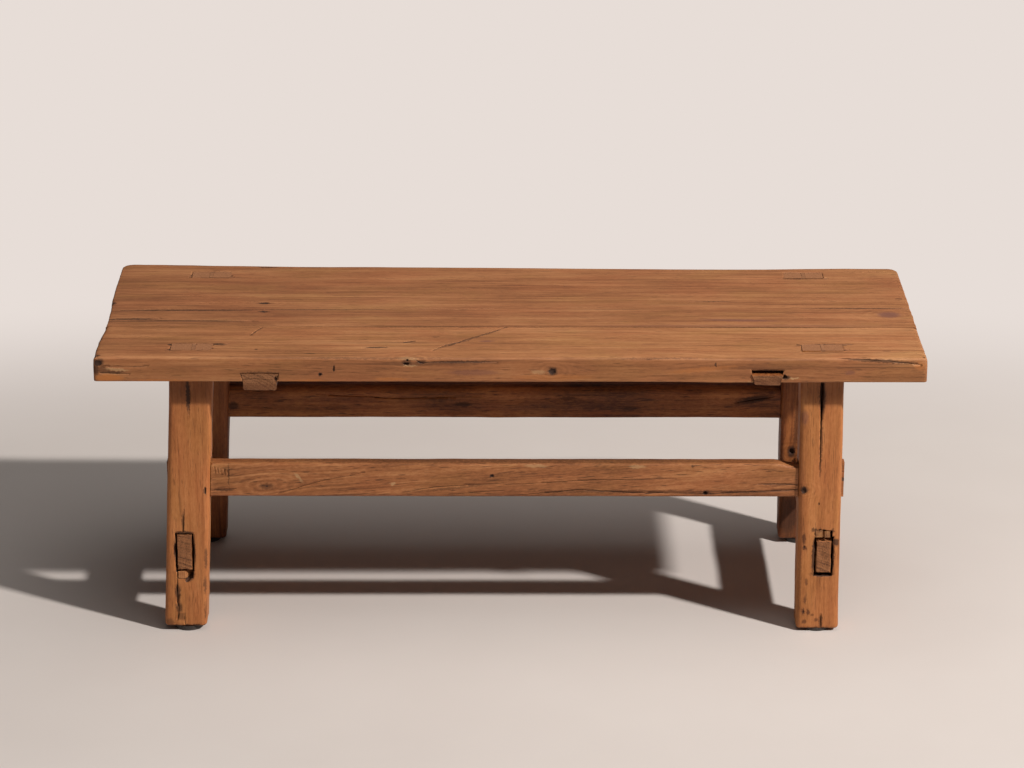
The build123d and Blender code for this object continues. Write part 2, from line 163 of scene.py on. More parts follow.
class Recipe:
    """Adds shader nodes one by one. Each is fed by numbers or by the outputs of earlier ones."""

    def __init__(self, name):
        self.material = bpy.data.materials.new(name)
        self.material.use_nodes = True
        self.tree = self.material.node_tree
        self.shader = self.tree.nodes["Principled BSDF"]

    def feed(self, socket, value):
        if isinstance(value, bpy.types.NodeSocket):
            self.tree.links.new(value, socket)
        else:
            socket.default_value = value

    def add(self, kind, inputs, out=0, **settings):
        node = self.tree.nodes.new("ShaderNode" + kind)
        for name, value in settings.items():
            setattr(node, name, value)
        for key, value in inputs.items():
            self.feed(node.inputs[key], value)
        return node.outputs[out]

    def math(self, operation, *values):
        return self.add("Math", dict(enumerate(values)), operation=operation)

    def vector(self, operation, *values, out=0):
        return self.add("VectorMath", dict(enumerate(values)), out, operation=operation)

    def scaled(self, vector, factor):
        inputs = {"Vector": vector, "Scale": factor}
        return self.add("VectorMath", inputs, operation="SCALE")

    def remap(self, value, low, high, to_low=0.0, to_high=1.0):
        """Eases a value from one range into another, and stops at its ends."""
        inputs = {0: value, 1: low, 2: high, 3: to_low, 4: to_high}
        return self.add("MapRange", inputs, interpolation_type="SMOOTHSTEP")

    def mix(self, share, first, second, blend="MIX"):
        inputs = {0: share, 6: first, 7: second}
        return self.add("Mix", inputs, out=2, data_type="RGBA", blend_type=blend)

    def noise(self, place, repeats, detail=2.0, roughness=0.5):
        """Noise with so many lumps to the metre along each axis."""
        spread = self.vector("MULTIPLY", place, repeats)
        inputs = {"Vector": spread, "Scale": 1.0, "Detail": detail, "Roughness": roughness}
        return self.add("TexNoise", inputs, noise_dimensions="3D")

    def place(self):
        """Where each point lies, in metres from the frame's origin."""
        return self.add("TexCoord", {}, out=3)

    def coat(self, colour, gloss, relief, strength, depth):
        """Feeds the shader. depth is how far the relief stands up, in mm."""
        inputs = {"Strength": strength, "Distance": depth * MM, "Height": relief}
        self.feed(self.shader.inputs["Base Color"], colour)
        self.feed(self.shader.inputs["Roughness"], gloss)
        self.feed(self.shader.inputs["Normal"], self.add("Bump", inputs))

    def ramp(self, value, stops):
        """Colours a value. stops are places from 0 to 1, each with its colour."""
        node = self.tree.nodes.new("ShaderNodeValToRGB")
        self.feed(node.inputs[0], value)
        points = node.color_ramp.elements
        while len(points) < len(stops):
            points.new(1.0)
        for point, (at, colour) in zip(points, stops):
            point.position = at
            point.color = paint(*colour)
        return node.outputs[0]


# %% [markdown]
# ## The floor
#
# The table stands on a plain painted floor, pale and a little warm. It reaches far past the view
# on all sides. Near the table it's lit and takes the shadows. Far from it the lamps hardly reach,
# so there it shows a pale backdrop colour to the eye alone.

# %% The floor
FLOOR_REACH = 30.0
NEAR, FAR = 0.6, 1.4


def painted_floor():
    recipe = Recipe("painted_floor")
    place = recipe.place()
    cloud = recipe.noise(place, (1.3, 1.3, 1.3), 4.0, 0.6)
    colour = recipe.ramp(cloud, ((0.3, (212, 201, 194)), (0.7, (218, 208, 201))))
    recipe.feed(recipe.shader.inputs["Base Color"], colour)
    recipe.shader.inputs["Roughness"].default_value = 0.75

    away = recipe.vector("LENGTH", recipe.vector("MULTIPLY", place, (0.5, 1.0, 0)), out=1)
    seen = recipe.add("LightPath", {}, out=0)
    mirrored = recipe.add("LightPath", {}, out=3)
    through = recipe.add("LightPath", {}, out=6)
    eye = recipe.math("MINIMUM", recipe.math("ADD", recipe.math("ADD", seen, mirrored), through), 1.0)
    share = recipe.math("MULTIPLY", recipe.remap(away, NEAR, FAR), eye)
    backdrop = recipe.add("Emission", {"Color": paint(231, 221, 215), "Strength": 1.0})
    both = recipe.add("MixShader", {0: share, 1: recipe.shader.outputs[0], 2: backdrop})
    recipe.feed(recipe.tree.nodes["Material Output"].inputs["Surface"], both)
    return recipe.material


bpy.ops.mesh.primitive_plane_add(size=FLOOR_REACH, location=(0, 0, 0))
floor = bpy.context.object
floor.name = "floor"
floor.data.materials.append(painted_floor())
print("the floor reaches", FLOOR_REACH / 2, "m each way")

# %% [markdown]
# ## Old elm
#
# Elm has strong growth rings, fine fibres and dark pores that show as dashes along the grain. On
# a sawn face the rings show as bands, which bow where the board cuts near the heart of the tree
# and curl round each knot. Wax and hands have darkened it and left it satin. End grain drinks
# more dirt, so it is darker and duller.
#
# The finish is worked out in the wood's own space: its first axis lies along the grain, and the
# heart of the tree is a line beside it. A knot pulls that space together, so the bands flow
# round it. Marks of use, such as stains and dents of dirt, are soft ragged ovals that are laid
# over the colour where a named place says.

# %% The wood's colours
TURN_TO_GRAIN = {X: (0, 0, 0), Y: (0, 0, -90), Z: (0, 90, 0)}  # degrees
FRONT_TONES = ((0.0, (122, 75, 44)), (0.5, (168, 110, 69)), (1.0, (196, 138, 92)))
REAR_TONES = ((0.0, (114, 69, 43)), (0.5, (160, 103, 65)), (1.0, (188, 130, 86)))
LEG_TONES = ((0.0, (136, 76, 36)), (0.5, (178, 110, 60)), (1.0, (202, 134, 80)))
RAIL_TONES = ((0.0, (116, 68, 36)), (0.5, (160, 100, 58)), (1.0, (192, 132, 84)))
# The shaded tones are a darker copy of the leg tones: painted shade for the pieces that stand in the
# shade under the top.
SHADED_TONES = ((0.0, (80, 40, 17)), (0.5, (140, 80, 39)), (1.0, (180, 112, 60)))
TOP_END_TONES = ((0.0, (128, 83, 54)), (0.5, (154, 102, 67)), (1.0, (166, 113, 77)))
END_TONES = ((0.0, (84, 50, 30)), (0.5, (136, 87, 53)), (1.0, (162, 108, 68)))
DRY_END_TONES = ((0.0, (90, 57, 35)), (0.5, (138, 90, 57)), (1.0, (160, 111, 73)))
DIRT = (48, 28, 18)
RIM = (0.04, 0.58)  # where a mark begins to show, and where it is full
RINGS_TO_THE_METRE = 330.0
print("dirt as linear light:", [round(share, 3) for share in paint(*DIRT)[:3]])

# %% [markdown]
# A mark of use is a round gradient, squeezed to an oval. The strongest of a group of marks wins
# at each place, so that marks of one colour don't pile up.


# %% Marks of use
def overlay_marks(recipe, place, marks):
    """How much of a mark's colour each place gets. A mark is a soft oval: its centre and its
    half sizes in mm, how strong it is, its turn in degrees, and the axis it turns about."""
    total = 0.0
    for centre, halves, strength, turn, about in marks:
        near = recipe.add("TexGradient", {"Vector": place}, out=1, gradient_type="SPHERICAL")
        oval = near.node.texture_mapping
        oval.vector_type = "TEXTURE"
        oval.translation = [c * MM for c in centre]
        oval.rotation[about] = math.radians(turn)
        oval.scale = [1.2 * h * MM for h in halves]
        total = recipe.math("MAXIMUM", total, recipe.remap(near, *RIM, 0.0, strength))
    return total


# %% [markdown]
# To turn the wood's space and pull it together round a knot, the place of each point is changed
# before any pattern looks at it. The rings are a noise along one line: the distance from the
# heart of the tree.


# %% The wood's own space and its rings
def wood_space(recipe, place, grain, centre, knots, slope):
    """Turns a place so that the grain runs along X, and pulls it together round each knot. Also
    gives the ripples that run round the knots. slope is how the grain climbs, in degrees."""
    roll, rise, around = TURN_TO_GRAIN[grain]
    rotation = Euler([math.radians(a) for a in (roll, rise + slope, around)])
    turned = rotation.to_matrix()
    inputs = {"Vector": place, "Location": -(turned @ Vector(centre)), "Rotation": rotation}
    wood = recipe.add("Mapping", inputs)
    ripples = 0.0
    for knot_place, reach, pull in knots:
        knot = turned @ (Vector(knot_place) * MM - Vector(centre))
        inputs = {"Vector": wood, "Location": knot, "Scale": [r * MM for r in reach]}
        inside = recipe.add("Mapping", inputs, vector_type="TEXTURE")
        square = recipe.vector("DOT_PRODUCT", inside, inside, out=1)
        closeness = recipe.math("EXPONENT", recipe.math("MULTIPLY", square, -1.0))
        stir = recipe.noise(wood, (60.0, 60.0, 60.0), 2.0)
        away = recipe.math("MULTIPLY_ADD", stir, 0.5, recipe.vector("LENGTH", inside, out=1))
        wave = recipe.math("SINE", recipe.math("MULTIPLY", away, 16.0))
        ripples = recipe.math("MULTIPLY_ADD", wave, closeness, ripples)
        across = recipe.vector("MULTIPLY", recipe.vector("SUBTRACT", knot, wood), (0, pull, pull))
        wood = recipe.vector("ADD", wood, recipe.scaled(across, closeness))
    return wood, ripples


def growth_rings(recipe, wood, seed):
    """Bands at growing distances from the heart of the tree, which wanders beside the piece."""
    along = recipe.add("SeparateXYZ", {0: wood}, out=0)
    wave = recipe.noise(recipe.vector("ADD", wood, (seed, 0, 0)), (1.4, 4.0, 4.0), 2.0)
    inputs = {
        0: 0.0,
        1: recipe.math("MULTIPLY_ADD", along, 0.025, 0.05 + 0.01 * (seed % 4)),
        2: recipe.math("MULTIPLY_ADD", along, 0.015, -0.15),
    }
    heart = recipe.add("CombineXYZ", inputs)
    radius = recipe.vector("DISTANCE", recipe.vector("MULTIPLY", wood, (0, 1, 1)), heart, out=1)
    radius = recipe.math("MULTIPLY_ADD", wave, 0.03, radius)
    turns = recipe.math("MULTIPLY", radius, RINGS_TO_THE_METRE)
    inputs = {"W": turns, "Scale": 1.0, "Detail": 3.0}
    return recipe.add("TexNoise", inputs, noise_dimensions="1D")


# %% [markdown]
# The finish itself is built up as a polisher would see it: broad patches, bands and fibres first,
# then flecks, tints, end grain, dust below, marks of use, and last the gloss and the relief.


# %% The finish of old elm
def old_elm(name, grain, centre, seed, tones, marks=(), knots=(), end_tones=END_TONES, **traits):
    """The finish of one piece. grain is the axis along its fibres. The traits are figure, how
    strongly its growth rings show, patch, how blotchy it is, grit and flecked, how strongly its
    pores show, ringed, how strongly rings show on its ends, contrast, how strongly all this
    shows, swirl, how strongly its knots curl, slope, how its grain climbs, brighter,
    the painted light: how much the tone of its upper face rises with each metre to the right,
    where the lamp falls stronger, and bleached, whether that face is paler."""
    figure, patch = traits.get("figure", 0.3), traits.get("patch", 0.8)
    contrast = traits.get("contrast", 1.0)
    recipe = Recipe(name)
    place = recipe.place()
    wood, ripples = wood_space(recipe, place, grain, centre, knots, traits.get("slope", 0.0))
    rings = growth_rings(recipe, wood, seed)
    spot = recipe.vector("ADD", wood, (seed * 3.7, seed * 1.3, 0))

    # Broad soft patches, bands, streaks, fibres and flecks
    patches = recipe.noise(spot, (6.0, 16.0, 16.0), 3.0, 0.55)
    bands = recipe.noise(spot, (2.2, 70.0, 70.0), 3.0, 0.6)
    strands = recipe.noise(spot, (5.5, 150.0, 150.0), 3.0, 0.6)
    fibres = recipe.noise(spot, (16.0, 420.0, 420.0), 4.0, 0.6)
    grit = recipe.noise(spot, (120.0, 420.0, 420.0), 3.0, 0.7)
    layers = ((rings, figure), (patches, patch), (bands, 0.8), (strands, 0.8), (fibres, 0.5))
    layers += ((grit, traits.get("grit", 0.5)),)
    middle = 0.5 - 0.5 * contrast * sum(weight for _, weight in layers)
    tone = recipe.math("MULTIPLY_ADD", ripples, traits.get("swirl", 0.13), middle)
    for layer, weight in layers:
        tone = recipe.math("MULTIPLY_ADD", layer, contrast * weight, tone)
    normal = recipe.add("TexCoord", {}, out=1)
    up = recipe.vector("DOT_PRODUCT", normal, (0, 0, 1), out=1)
    # Painted light: the upper face is painted lighter towards the right, where the lamp on the right
    # falls stronger
    right = recipe.math("MULTIPLY", recipe.add("SeparateXYZ", {0: place}, out=0), up)
    tone = recipe.math("MULTIPLY_ADD", right, traits.get("brighter", 0.0), tone)
    side = recipe.ramp(tone, tones)
    flecks = recipe.noise(spot, (46.0, 620.0, 620.0), 2.0, 0.5)
    streaks = recipe.noise(spot, (3.2, 190.0, 190.0), 2.0, 0.5)
    fleck = recipe.remap(flecks, 0.58, 0.72, 0.0, traits.get("flecked", 0.5))
    streak = recipe.remap(streaks, 0.62, 0.74, 0.0, 0.5)
    line = recipe.math("MAXIMUM", fleck, streak)
    side = recipe.mix(line, side, paint(*[c * 0.68 for c in tones[0][1]]))

    # Some patches are olive, and others are redder
    tint = recipe.noise(recipe.vector("ADD", spot, (0, 0, 5)), (9.0, 24.0, 24.0), 2.0)
    olive, red = recipe.remap(tint, 0.48, 0.36, 0.0, 0.26), recipe.remap(tint, 0.52, 0.66, 0.0, 0.28)
    side = recipe.mix(olive, side, (0.86, 1.0, 0.80, 1), "MULTIPLY")
    side = recipe.mix(red, side, (1.0, 0.82, 0.84, 1), "MULTIPLY")

    # Use bleaches an upper face, and the edges stay deeper in colour
    if traits.get("bleached"):
        deeper = recipe.remap(up, 0.8, 0.3)
        side = recipe.mix(deeper, side, (0.87, 0.82, 0.76, 1), "MULTIPLY")

    # End grain: rings and pores seen from their ends
    specks = recipe.noise(spot, (60.0, 700.0, 700.0), 3.0, 0.65)
    ringed = traits.get("ringed", 0.55)
    end_tone = recipe.math("MULTIPLY_ADD", rings, ringed, recipe.math("MULTIPLY", specks, 0.9))
    end = recipe.ramp(recipe.remap(end_tone, 0.205 + 0.5 * ringed, 0.675 + 0.5 * ringed), end_tones)
    axis = [0, 0, 0]
    axis[grain] = 1
    facing = recipe.math("ABSOLUTE", recipe.vector("DOT_PRODUCT", normal, axis, out=1))
    end_share = recipe.remap(facing, 0.72, 0.93)
    colour = recipe.mix(end_share, side, end)

    # Undersides were never waxed
    dusty = recipe.remap(up, -0.5, -0.95, 0.0, 0.55)
    colour = recipe.mix(dusty, colour, paint(96, 64, 42))

    # Marks of use, with ragged edges
    stir = recipe.add("TexNoise", {"Vector": place, "Scale": 260.0, "Detail": 3.0}, out=1)
    stir = recipe.vector("SUBTRACT", stir, (0.5, 0.5, 0.5))
    ragged = recipe.vector("ADD", place, recipe.scaled(stir, 6 * MM))
    dirt_share = 0.0
    for mark_colour, group in marks:
        share = overlay_marks(recipe, ragged, group)
        colour = recipe.mix(share, colour, paint(*mark_colour))
        dirt_share = recipe.math("MAXIMUM", dirt_share, share)

    # The walls of cracks, holes and mortises are black with dirt
    cut = recipe.add("Attribute", {}, out=2, attribute_name="cut")
    colour = recipe.mix(recipe.math("MULTIPLY", cut, 0.85), colour, paint(*DIRT))

    # Gloss and relief
    gloss = recipe.remap(fibres, 0.3, 0.7, 0.66, 0.50)
    gloss = recipe.math("MULTIPLY_ADD", end_share, 0.2, gloss)
    gloss = recipe.math("MULTIPLY_ADD", dirt_share, 0.2, gloss)
    relief = recipe.math("MULTIPLY_ADD", fibres, 0.8, recipe.math("MULTIPLY", bands, 0.6))
    relief = recipe.math("MULTIPLY_ADD", line, -0.9, relief)
    relief = recipe.math("MULTIPLY_ADD", dirt_share, -0.6, relief)
    recipe.coat(colour, gloss, relief, 0.5, 0.5)
    recipe.shader.inputs["Specular IOR Level"].default_value = 0.35
    return recipe.material


# %% [markdown]
# ## Working in edit mode from a script
#
# Operators act on whatever is selected, just as they do under the mouse. So each step selects
# one object, enters edit mode, picks faces, edges or corners by where they are, and then calls
# the operator.


# %% Picking things
def pick_alone(piece):
    bpy.ops.object.select_all(action="DESELECT")
    piece.select_set(True)
    bpy.context.view_layer.objects.active = piece


@contextmanager
def edit_mode(piece):
    pick_alone(piece)
    bpy.ops.object.mode_set(mode="EDIT")
    yield
    bpy.ops.object.mode_set(mode="OBJECT")


def select(kind, test):
    """In edit mode, selects only the corners, edges or faces that pass a test."""
    bpy.ops.mesh.select_mode(type=kind)
    bpy.ops.mesh.select_all(action="DESELECT")
    mesh = bpy.context.object.data
    shape = bmesh.from_edit_mesh(mesh)
    parts = {"VERT": shape.verts, "EDGE": shape.edges, "FACE": shape.faces}[kind]
    chosen = [part for part in parts if test(part)]
    for part in chosen:
        part.select_set(True)
    shape.select_flush_mode()
    bmesh.update_edit_mesh(mesh)
    return len(chosen)


def select_all():
    bpy.ops.mesh.select_all(action="SELECT")


def middle_of(part):
    """The middle of an edge or a face."""
    return sum((corner.co for corner in part.verts), Vector()) / len(part.verts)


def runs_along(edge, axis):
    """Whether an edge lies nearly along an axis."""
    run = (edge.verts[1].co - edge.verts[0].co).normalized()
    return abs(run[axis]) > 0.9


def meets(measure, other):
    """Whether two measures are the same, within a hair."""
    return abs(measure - other) < HAIR


def box_middle(node):
    """The middle of a node's box in the frame."""
    low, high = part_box(node)
    return (low + high) / 2


def press(piece, move, reach, test):
    """Moves the corners that pass a test, and draws those within reach of them along."""
    with edit_mode(piece):
        select("VERT", test)
        bpy.ops.transform.translate(
            value=move,
            use_proportional_edit=True,
            proportional_edit_falloff="SMOOTH",
            proportional_size=reach,
        )


# %% [markdown]
# ## Blocks, slices, wear and cuts
#
# Each piece begins as a block of the right size. Its skin is cut into many thin slices, so that
# it has enough corners to be worn. Wear is the Displace modifier with a cloud texture: an empty,
# stretched to the size of one hollow, gives the clouds their scale. Joints, cracks and holes are
# cut at the end with the Boolean modifier, because a cut made first would be blurred by the wear.


# %% Blocks and slices
def add_block(name, low, high):
    """A block between two corners, with its place in its mesh."""
    low, high = Vector(low), Vector(high)
    bpy.ops.object.select_all(action="DESELECT")
    bpy.ops.mesh.primitive_cube_add(size=1, location=(low + high) / 2, scale=high - low)
    block = bpy.context.object
    block.name = name
    bpy.ops.object.transform_apply(location=True, rotation=True, scale=True)
    return block


def slice_at(axis, place):
    """In edit mode, cuts the whole skin with a plane across an axis."""
    across = Vector((0, 0, 0))
    across[axis] = 1
    select_all()
    bpy.ops.mesh.bisect(plane_co=across * place, plane_no=across)


def slice_up(piece, *pitches):
    """Cuts a piece's skin into even slices. Each pitch is an axis, and how thick the slices
    along it are, in mm."""
    for axis, pitch in pitches:
        places = [corner.co[axis] for corner in piece.data.vertices]
        low, high = min(places), max(places)
        count = round((high - low) / (pitch * MM))
        with edit_mode(piece):
            for n in range(1, count):
                slice_at(axis, low + (high - low) * n / count)


# %% [markdown]
# Wear takes wood away, so the middle level of the clouds is set high: they press in far more
# than they swell. The seed moves the empty, which gives each piece hollows of its own. Where
# wear should be weak, a vertex group with low weights holds it back.

# %% Wear
PRESSED_IN = 0.72  # the clouds' middle level


def weather(piece, depth, hollow, seed, weight=None):
    """Presses a piece's skin in by up to about depth. hollow is the size of one hollow along
    each axis, and weight says how much of the wear each place gets."""
    bpy.ops.object.empty_add(location=(seed * 0.37, seed * 0.61, seed * 0.83))
    gauge = bpy.context.object
    gauge.scale = hollow
    bpy.context.view_layer.update()
    clouds = bpy.data.textures.new("wear", "CLOUDS")
    clouds.noise_basis = "IMPROVED_PERLIN"
    clouds.noise_scale = 1.0
    clouds.noise_depth = 2
    wear = piece.modifiers.new("wear", "DISPLACE")
    wear.texture = clouds
    wear.texture_coords = "OBJECT"
    wear.texture_coords_object = gauge
    wear.strength = 2 * depth
    wear.mid_level = PRESSED_IN
    if weight:
        group = piece.vertex_groups.new(name="wear")
        for corner in piece.data.vertices:
            group.add([corner.index], weight(corner.co), "REPLACE")
        wear.vertex_group = group.name
    pick_alone(piece)
    bpy.ops.object.modifier_apply(modifier=wear.name)
    piece.vertex_groups.clear()
    bpy.data.objects.remove(gauge)


# %% [markdown]
# A crack is cut with a thin blade, drawn out from point to point with the extrude operator, so
# that it wanders and swells. A knot hole or a chip is cut with a ragged ball, and a mortise with
# a rough block. Blades and balls are made at the origin and then laid on the face that they cut.


# %% Cutting tools
def rough_block(low, high, room, seed, ragged=0.5):
    """A block that cuts a mortise between two corners, with some room round it in mm. Its faces
    are uneven, so that what it cuts looks hand made."""
    grow = Vector(room) * MM
    hole = add_block("mortise", Vector(low) - grow, Vector(high) + grow)
    with edit_mode(hole):
        select_all()
        bpy.ops.mesh.subdivide(number_cuts=5)
        bpy.ops.transform.vertex_random(offset=ragged * MM, uniform=0.6, normal=0.2, seed=seed)
    return hole


def lay_on(tool, origin, along, outward):
    """Moves a tool made at the origin, along X and facing +Z, onto a face of a piece."""
    outward = Vector(outward).normalized()
    aside = outward.cross(Vector(along)).normalized()
    along = aside.cross(outward)
    turn = Matrix((along, aside, outward)).transposed().to_4x4()
    tool.matrix_world = Matrix.Translation(Vector(origin) * MM) @ turn
    bpy.context.view_layer.update()
    tool.data.transform(tool.matrix_world)
    tool.matrix_world = Matrix.Identity(4)


def blade(origin, along, outward, path, depth, seed, step=7.0):
    """A thin, uneven blade that cuts a crack in a face. Each point of its path, in mm, is how
    far along the crack it lies, how far aside, and how wide the crack is there."""
    chance = random.Random(seed)
    stations = []
    for (s0, t0, w0), (s1, t1, w1) in zip(path, path[1:]):
        count = max(1, round((s1 - s0) / step))
        for n in range(count):
            share = n / count
            aside = t0 + (t1 - t0) * share + chance.uniform(-0.35, 0.35)
            width = (w0 + (w1 - w0) * share) * chance.uniform(0.75, 1.25)
            stations.append((s0 + (s1 - s0) * share, aside, width))
    stations.append(path[-1])
    stations = [(s * MM, t * MM, max(w, 0.12) * MM) for s, t, w in stations]

    bpy.ops.object.select_all(action="DESELECT")
    bpy.ops.mesh.primitive_plane_add(size=1, rotation=(0, math.radians(90), 0))
    tool = bpy.context.object
    above, below = 3 * MM, depth * MM
    bpy.ops.object.transform_apply(location=True, rotation=True, scale=True)
    start, aside, width = stations[0]
    with edit_mode(tool):
        select_all()
        size = (1, width, above + below)
        bpy.ops.transform.resize(value=size, center_override=(0, 0, 0))
        bpy.ops.transform.translate(value=(start, aside, (above - below) / 2))
        select("VERT", lambda corner: corner.co.z < 0)
        bpy.ops.transform.resize(value=(1, 0.25, 1), center_override=(start, aside, 0))
        select_all()
        bpy.ops.mesh.select_mode(type="FACE")
        for (s0, t0, w0), (s1, t1, w1) in zip(stations, stations[1:]):
            move = {"value": (s1 - s0, t1 - t0, 0)}
            bpy.ops.mesh.extrude_region_move(TRANSFORM_OT_translate=move)
            bpy.ops.transform.resize(value=(1, w1 / w0, 1), center_override=(s1, t1, 0))
        select_all()
        bpy.ops.mesh.normals_make_consistent(inside=False)
    lay_on(tool, origin, along, outward)
    return tool


def pit(origin, along, outward, size, seed):
    """A ragged ball that cuts a hole, a knot hole or a chip. size is its half length along,
    half width aside and depth, in mm."""
    bpy.ops.object.select_all(action="DESELECT")
    bpy.ops.mesh.primitive_ico_sphere_add(subdivisions=3, radius=1)
    tool = bpy.context.object
    tool.scale = [s * MM for s in size]
    bpy.ops.object.transform_apply(location=True, rotation=True, scale=True)
    with edit_mode(tool):
        select_all()
        amount = 0.14 * min(size) * MM
        bpy.ops.transform.vertex_random(offset=amount, uniform=0.5, normal=0.5, seed=seed)
    lay_on(tool, origin, along, outward)
    return tool


def swollen(node, by):
    """A copy of a CAD piece, a little larger all round, to cut the room that it needs."""
    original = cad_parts[node]
    tool = original.copy()
    tool.data = original.data.copy()
    tool.parent = None
    scene.collection.objects.link(tool)
    with edit_mode(tool):
        select_all()
        bpy.ops.mesh.remove_doubles(threshold=0.01 * MM)
        bpy.ops.mesh.normals_make_consistent(inside=False)
    low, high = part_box(node)
    middle = box_middle(node)
    scale = [1 + 2 * by / (h - l) for l, h in zip(low, high)]
    grow = Matrix.Translation(middle) @ Matrix.Diagonal((*scale, 1)) @ Matrix.Translation(-middle)
    tool.data.transform(grow)
    return tool


# %% [markdown]
# All of a piece's tools are taken away in one cut, by a solver that keeps the piece closed. The
# tools carry a material of their own through the cut, so the faces that they leave can be told
# from the skin, and a colour attribute passes that on to the finish.


# %% Carving and dressing
SMOOTH_BELOW = 38  # degrees between faces that are shaded as one
SKIN = bpy.data.materials.new("skin")
CUT_WALL = bpy.data.materials.new("cut_wall")


def volume_of(piece):
    """A piece's volume, and how many of its edges are open."""
    shape = bmesh.new()
    shape.from_mesh(piece.data)
    volume = shape.calc_volume()
    open_edges = sum(not edge.is_manifold for edge in shape.edges)
    shape.free()
    return volume, open_edges


def mark_cuts(piece):
    """Notes in a colour attribute which faces a tool has left, for the finish to darken."""
    mesh = piece.data
    index = mesh.materials.find(CUT_WALL.name)
    notes = mesh.color_attributes.new(name="cut", type="FLOAT_COLOR", domain="CORNER")
    count = 0
    for face in mesh.polygons:
        is_cut = index > 0 and face.material_index == index
        count += is_cut
        shade = (1, 1, 1, 1) if is_cut else (0, 0, 0, 1)
        for loop in face.loop_indices:
            notes.data[loop].color = shade
        face.material_index = 0
    print(f"{piece.name}: {count} faces of cuts")


def carve(piece, tools):
    """Takes all the tools away from a piece in one cut, and removes them."""
    tray = bpy.data.collections.new("tools")
    scene.collection.children.link(tray)
    for tool in tools:
        for home in list(tool.users_collection):
            home.objects.unlink(tool)
        tray.objects.link(tool)
        tool.data.materials.clear()
        tool.data.materials.append(CUT_WALL)
    piece.data.materials.clear()
    piece.data.materials.append(SKIN)
    before, _ = volume_of(piece)
    cut = piece.modifiers.new("cut", "BOOLEAN")
    cut.operation = "DIFFERENCE"
    cut.operand_type = "COLLECTION"
    cut.collection = tray
    cut.solver = "MANIFOLD"
    cut.material_mode = "TRANSFER"
    pick_alone(piece)
    bpy.ops.object.modifier_apply(modifier=cut.name)
    for tool in tools:
        bpy.data.objects.remove(tool)
    bpy.data.collections.remove(tray)
    mark_cuts(piece)
    after, open_edges = volume_of(piece)
    share = 100 * (1 - after / before)
    print(f"{piece.name}: {len(piece.data.polygons)} faces, {share:.2f}% cut, {open_edges} open")


def dress(piece, node, finish):
    """Gives a finished piece smooth shading and its material, hangs it on the root body, and
    hides the CAD part that it stands for.
    """
    pick_alone(piece)
    bpy.ops.object.shade_smooth_by_angle(angle=math.radians(SMOOTH_BELOW))
    piece.data.materials.clear()
    piece.data.materials.append(finish)
    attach(piece, "root")
    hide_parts(node)


# %% [markdown]
# ## Where the legs are
#
# A leg leans outwards on its way down, so its middle is a slanting line. The frame gives two
# points of it: the pad under the foot, and the wedge in the end of its tenon. The tenon isn't in
# the middle of the leg: the leg is set back from it, further under the top.

# %% Where the legs are
CORNERS = ("front_left", "front_right", "rear_left", "rear_right")
LEG_SETBACK = 6  # from the tenon's middle to the leg's, in mm
KNOCKED = {"front_left": -3.5}  # how far a leg was knocked sideways, in mm
BOARD_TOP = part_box("top_front_board")[1].z
BOARD_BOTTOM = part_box("top_front_board")[0].z


def leg_middle(corner, height):
    """The middle of a leg at a height."""
    foot, head = box_middle(f"foot_pad_{corner}"), box_middle(f"leg_wedge_{corner}")
    foot.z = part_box(f"foot_pad_{corner}")[1].z
    inboard = 1 if corner.startswith("front") else -1
    head.y += inboard * LEG_SETBACK * MM
    middle = foot.lerp(head, (height - foot.z) / (head.z - foot.z))
    middle.x += KNOCKED.get(corner, 0) * MM
    return middle


def tenon_middle(corner, height):
    """The middle of a leg's tenon at a height."""
    outboard = -1 if corner.startswith("front") else 1
    return leg_middle(corner, height) + Vector((0, outboard * LEG_SETBACK * MM, 0))


def leaning(corner):
    """The matrix that turns an upright front leg to face outwards, leans it and places it."""
    at_floor = leg_middle(corner, 0)
    rise = (leg_middle(corner, BOARD_TOP) - at_floor) / BOARD_TOP
    lean = Matrix.Identity(4)
    lean[0][2] = rise.x
    lean[1][2] = rise.y
    turn = Matrix.Rotation(0 if corner.startswith("front") else math.pi, 4, "Z")
    return Matrix.Translation((at_floor.x, at_floor.y, 0)) @ lean @ turn


for corner in CORNERS:
    for height in (BOARD_TOP, 0):
        print(corner, [round(v / MM) for v in leg_middle(corner, height)])

# %% [markdown]
# ## The front board
#
# The joiner sawed this board from a slab and jointed its rear edge to the wide one. Its end has
# since worn hollow, and its front arris is soft from a century of hands. It begins as a block
# whose left end is redrawn along its worn line, and then its arrises are rounded with bevels.


# %% Redrawing and rounding a block
def redraw(piece, across, edge, run, points):
    """Bends one side of a block to a worn line. Each point is a place along its run, and where
    the side lies there, in mm."""
    with edit_mode(piece):
        for at, _ in points:
            slice_at(run, at * MM)
        for at, to in points:
            select("VERT", lambda c: meets(c.co[across], edge) and meets(c.co[run], at * MM))
            move = [0, 0, 0]
            move[across] = to * MM - edge
            bpy.ops.transform.translate(value=move)


def round_edges(piece, radius, segments, test):
    """Bevels the edges of a block that pass a test."""
    with edit_mode(piece):
        count = select("EDGE", test)
        bpy.ops.mesh.bevel(offset=radius * MM, segments=segments, affect="EDGES")
    return count


def round_arris(board, height, seam, radius, segments):
    """Bevels a board's real edges at a height, and leaves the jointed one along the seam."""

    def is_arris(edge):
        level = all(meets(corner.co.z, height) for corner in edge.verts)
        at_seam = all(abs(corner.co.y - seam) < 10 * HAIR for corner in edge.verts)
        return level and not at_seam and edge.calc_face_angle(0) > 0.5

    print(f"{board.name}, arrises:", round_edges(board, radius, segments, is_arris))


# %% [markdown]
# The left end of the front board has worn back by four millimetres at the seam. Its corners and
# its upper arris are the most rounded.

# %% The front board's block
FRONT_LOW, FRONT_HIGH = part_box("top_front_board")
LEFT_END = FRONT_LOW.x
FRONT_SEAM = FRONT_HIGH.y
FRONT_LEFT_END = (
    (-216, -600),
    (-194, -600),
    (-153, -600),
    (-124, -599),
    (-88, -596.4),
    (-81.15, -596),
)


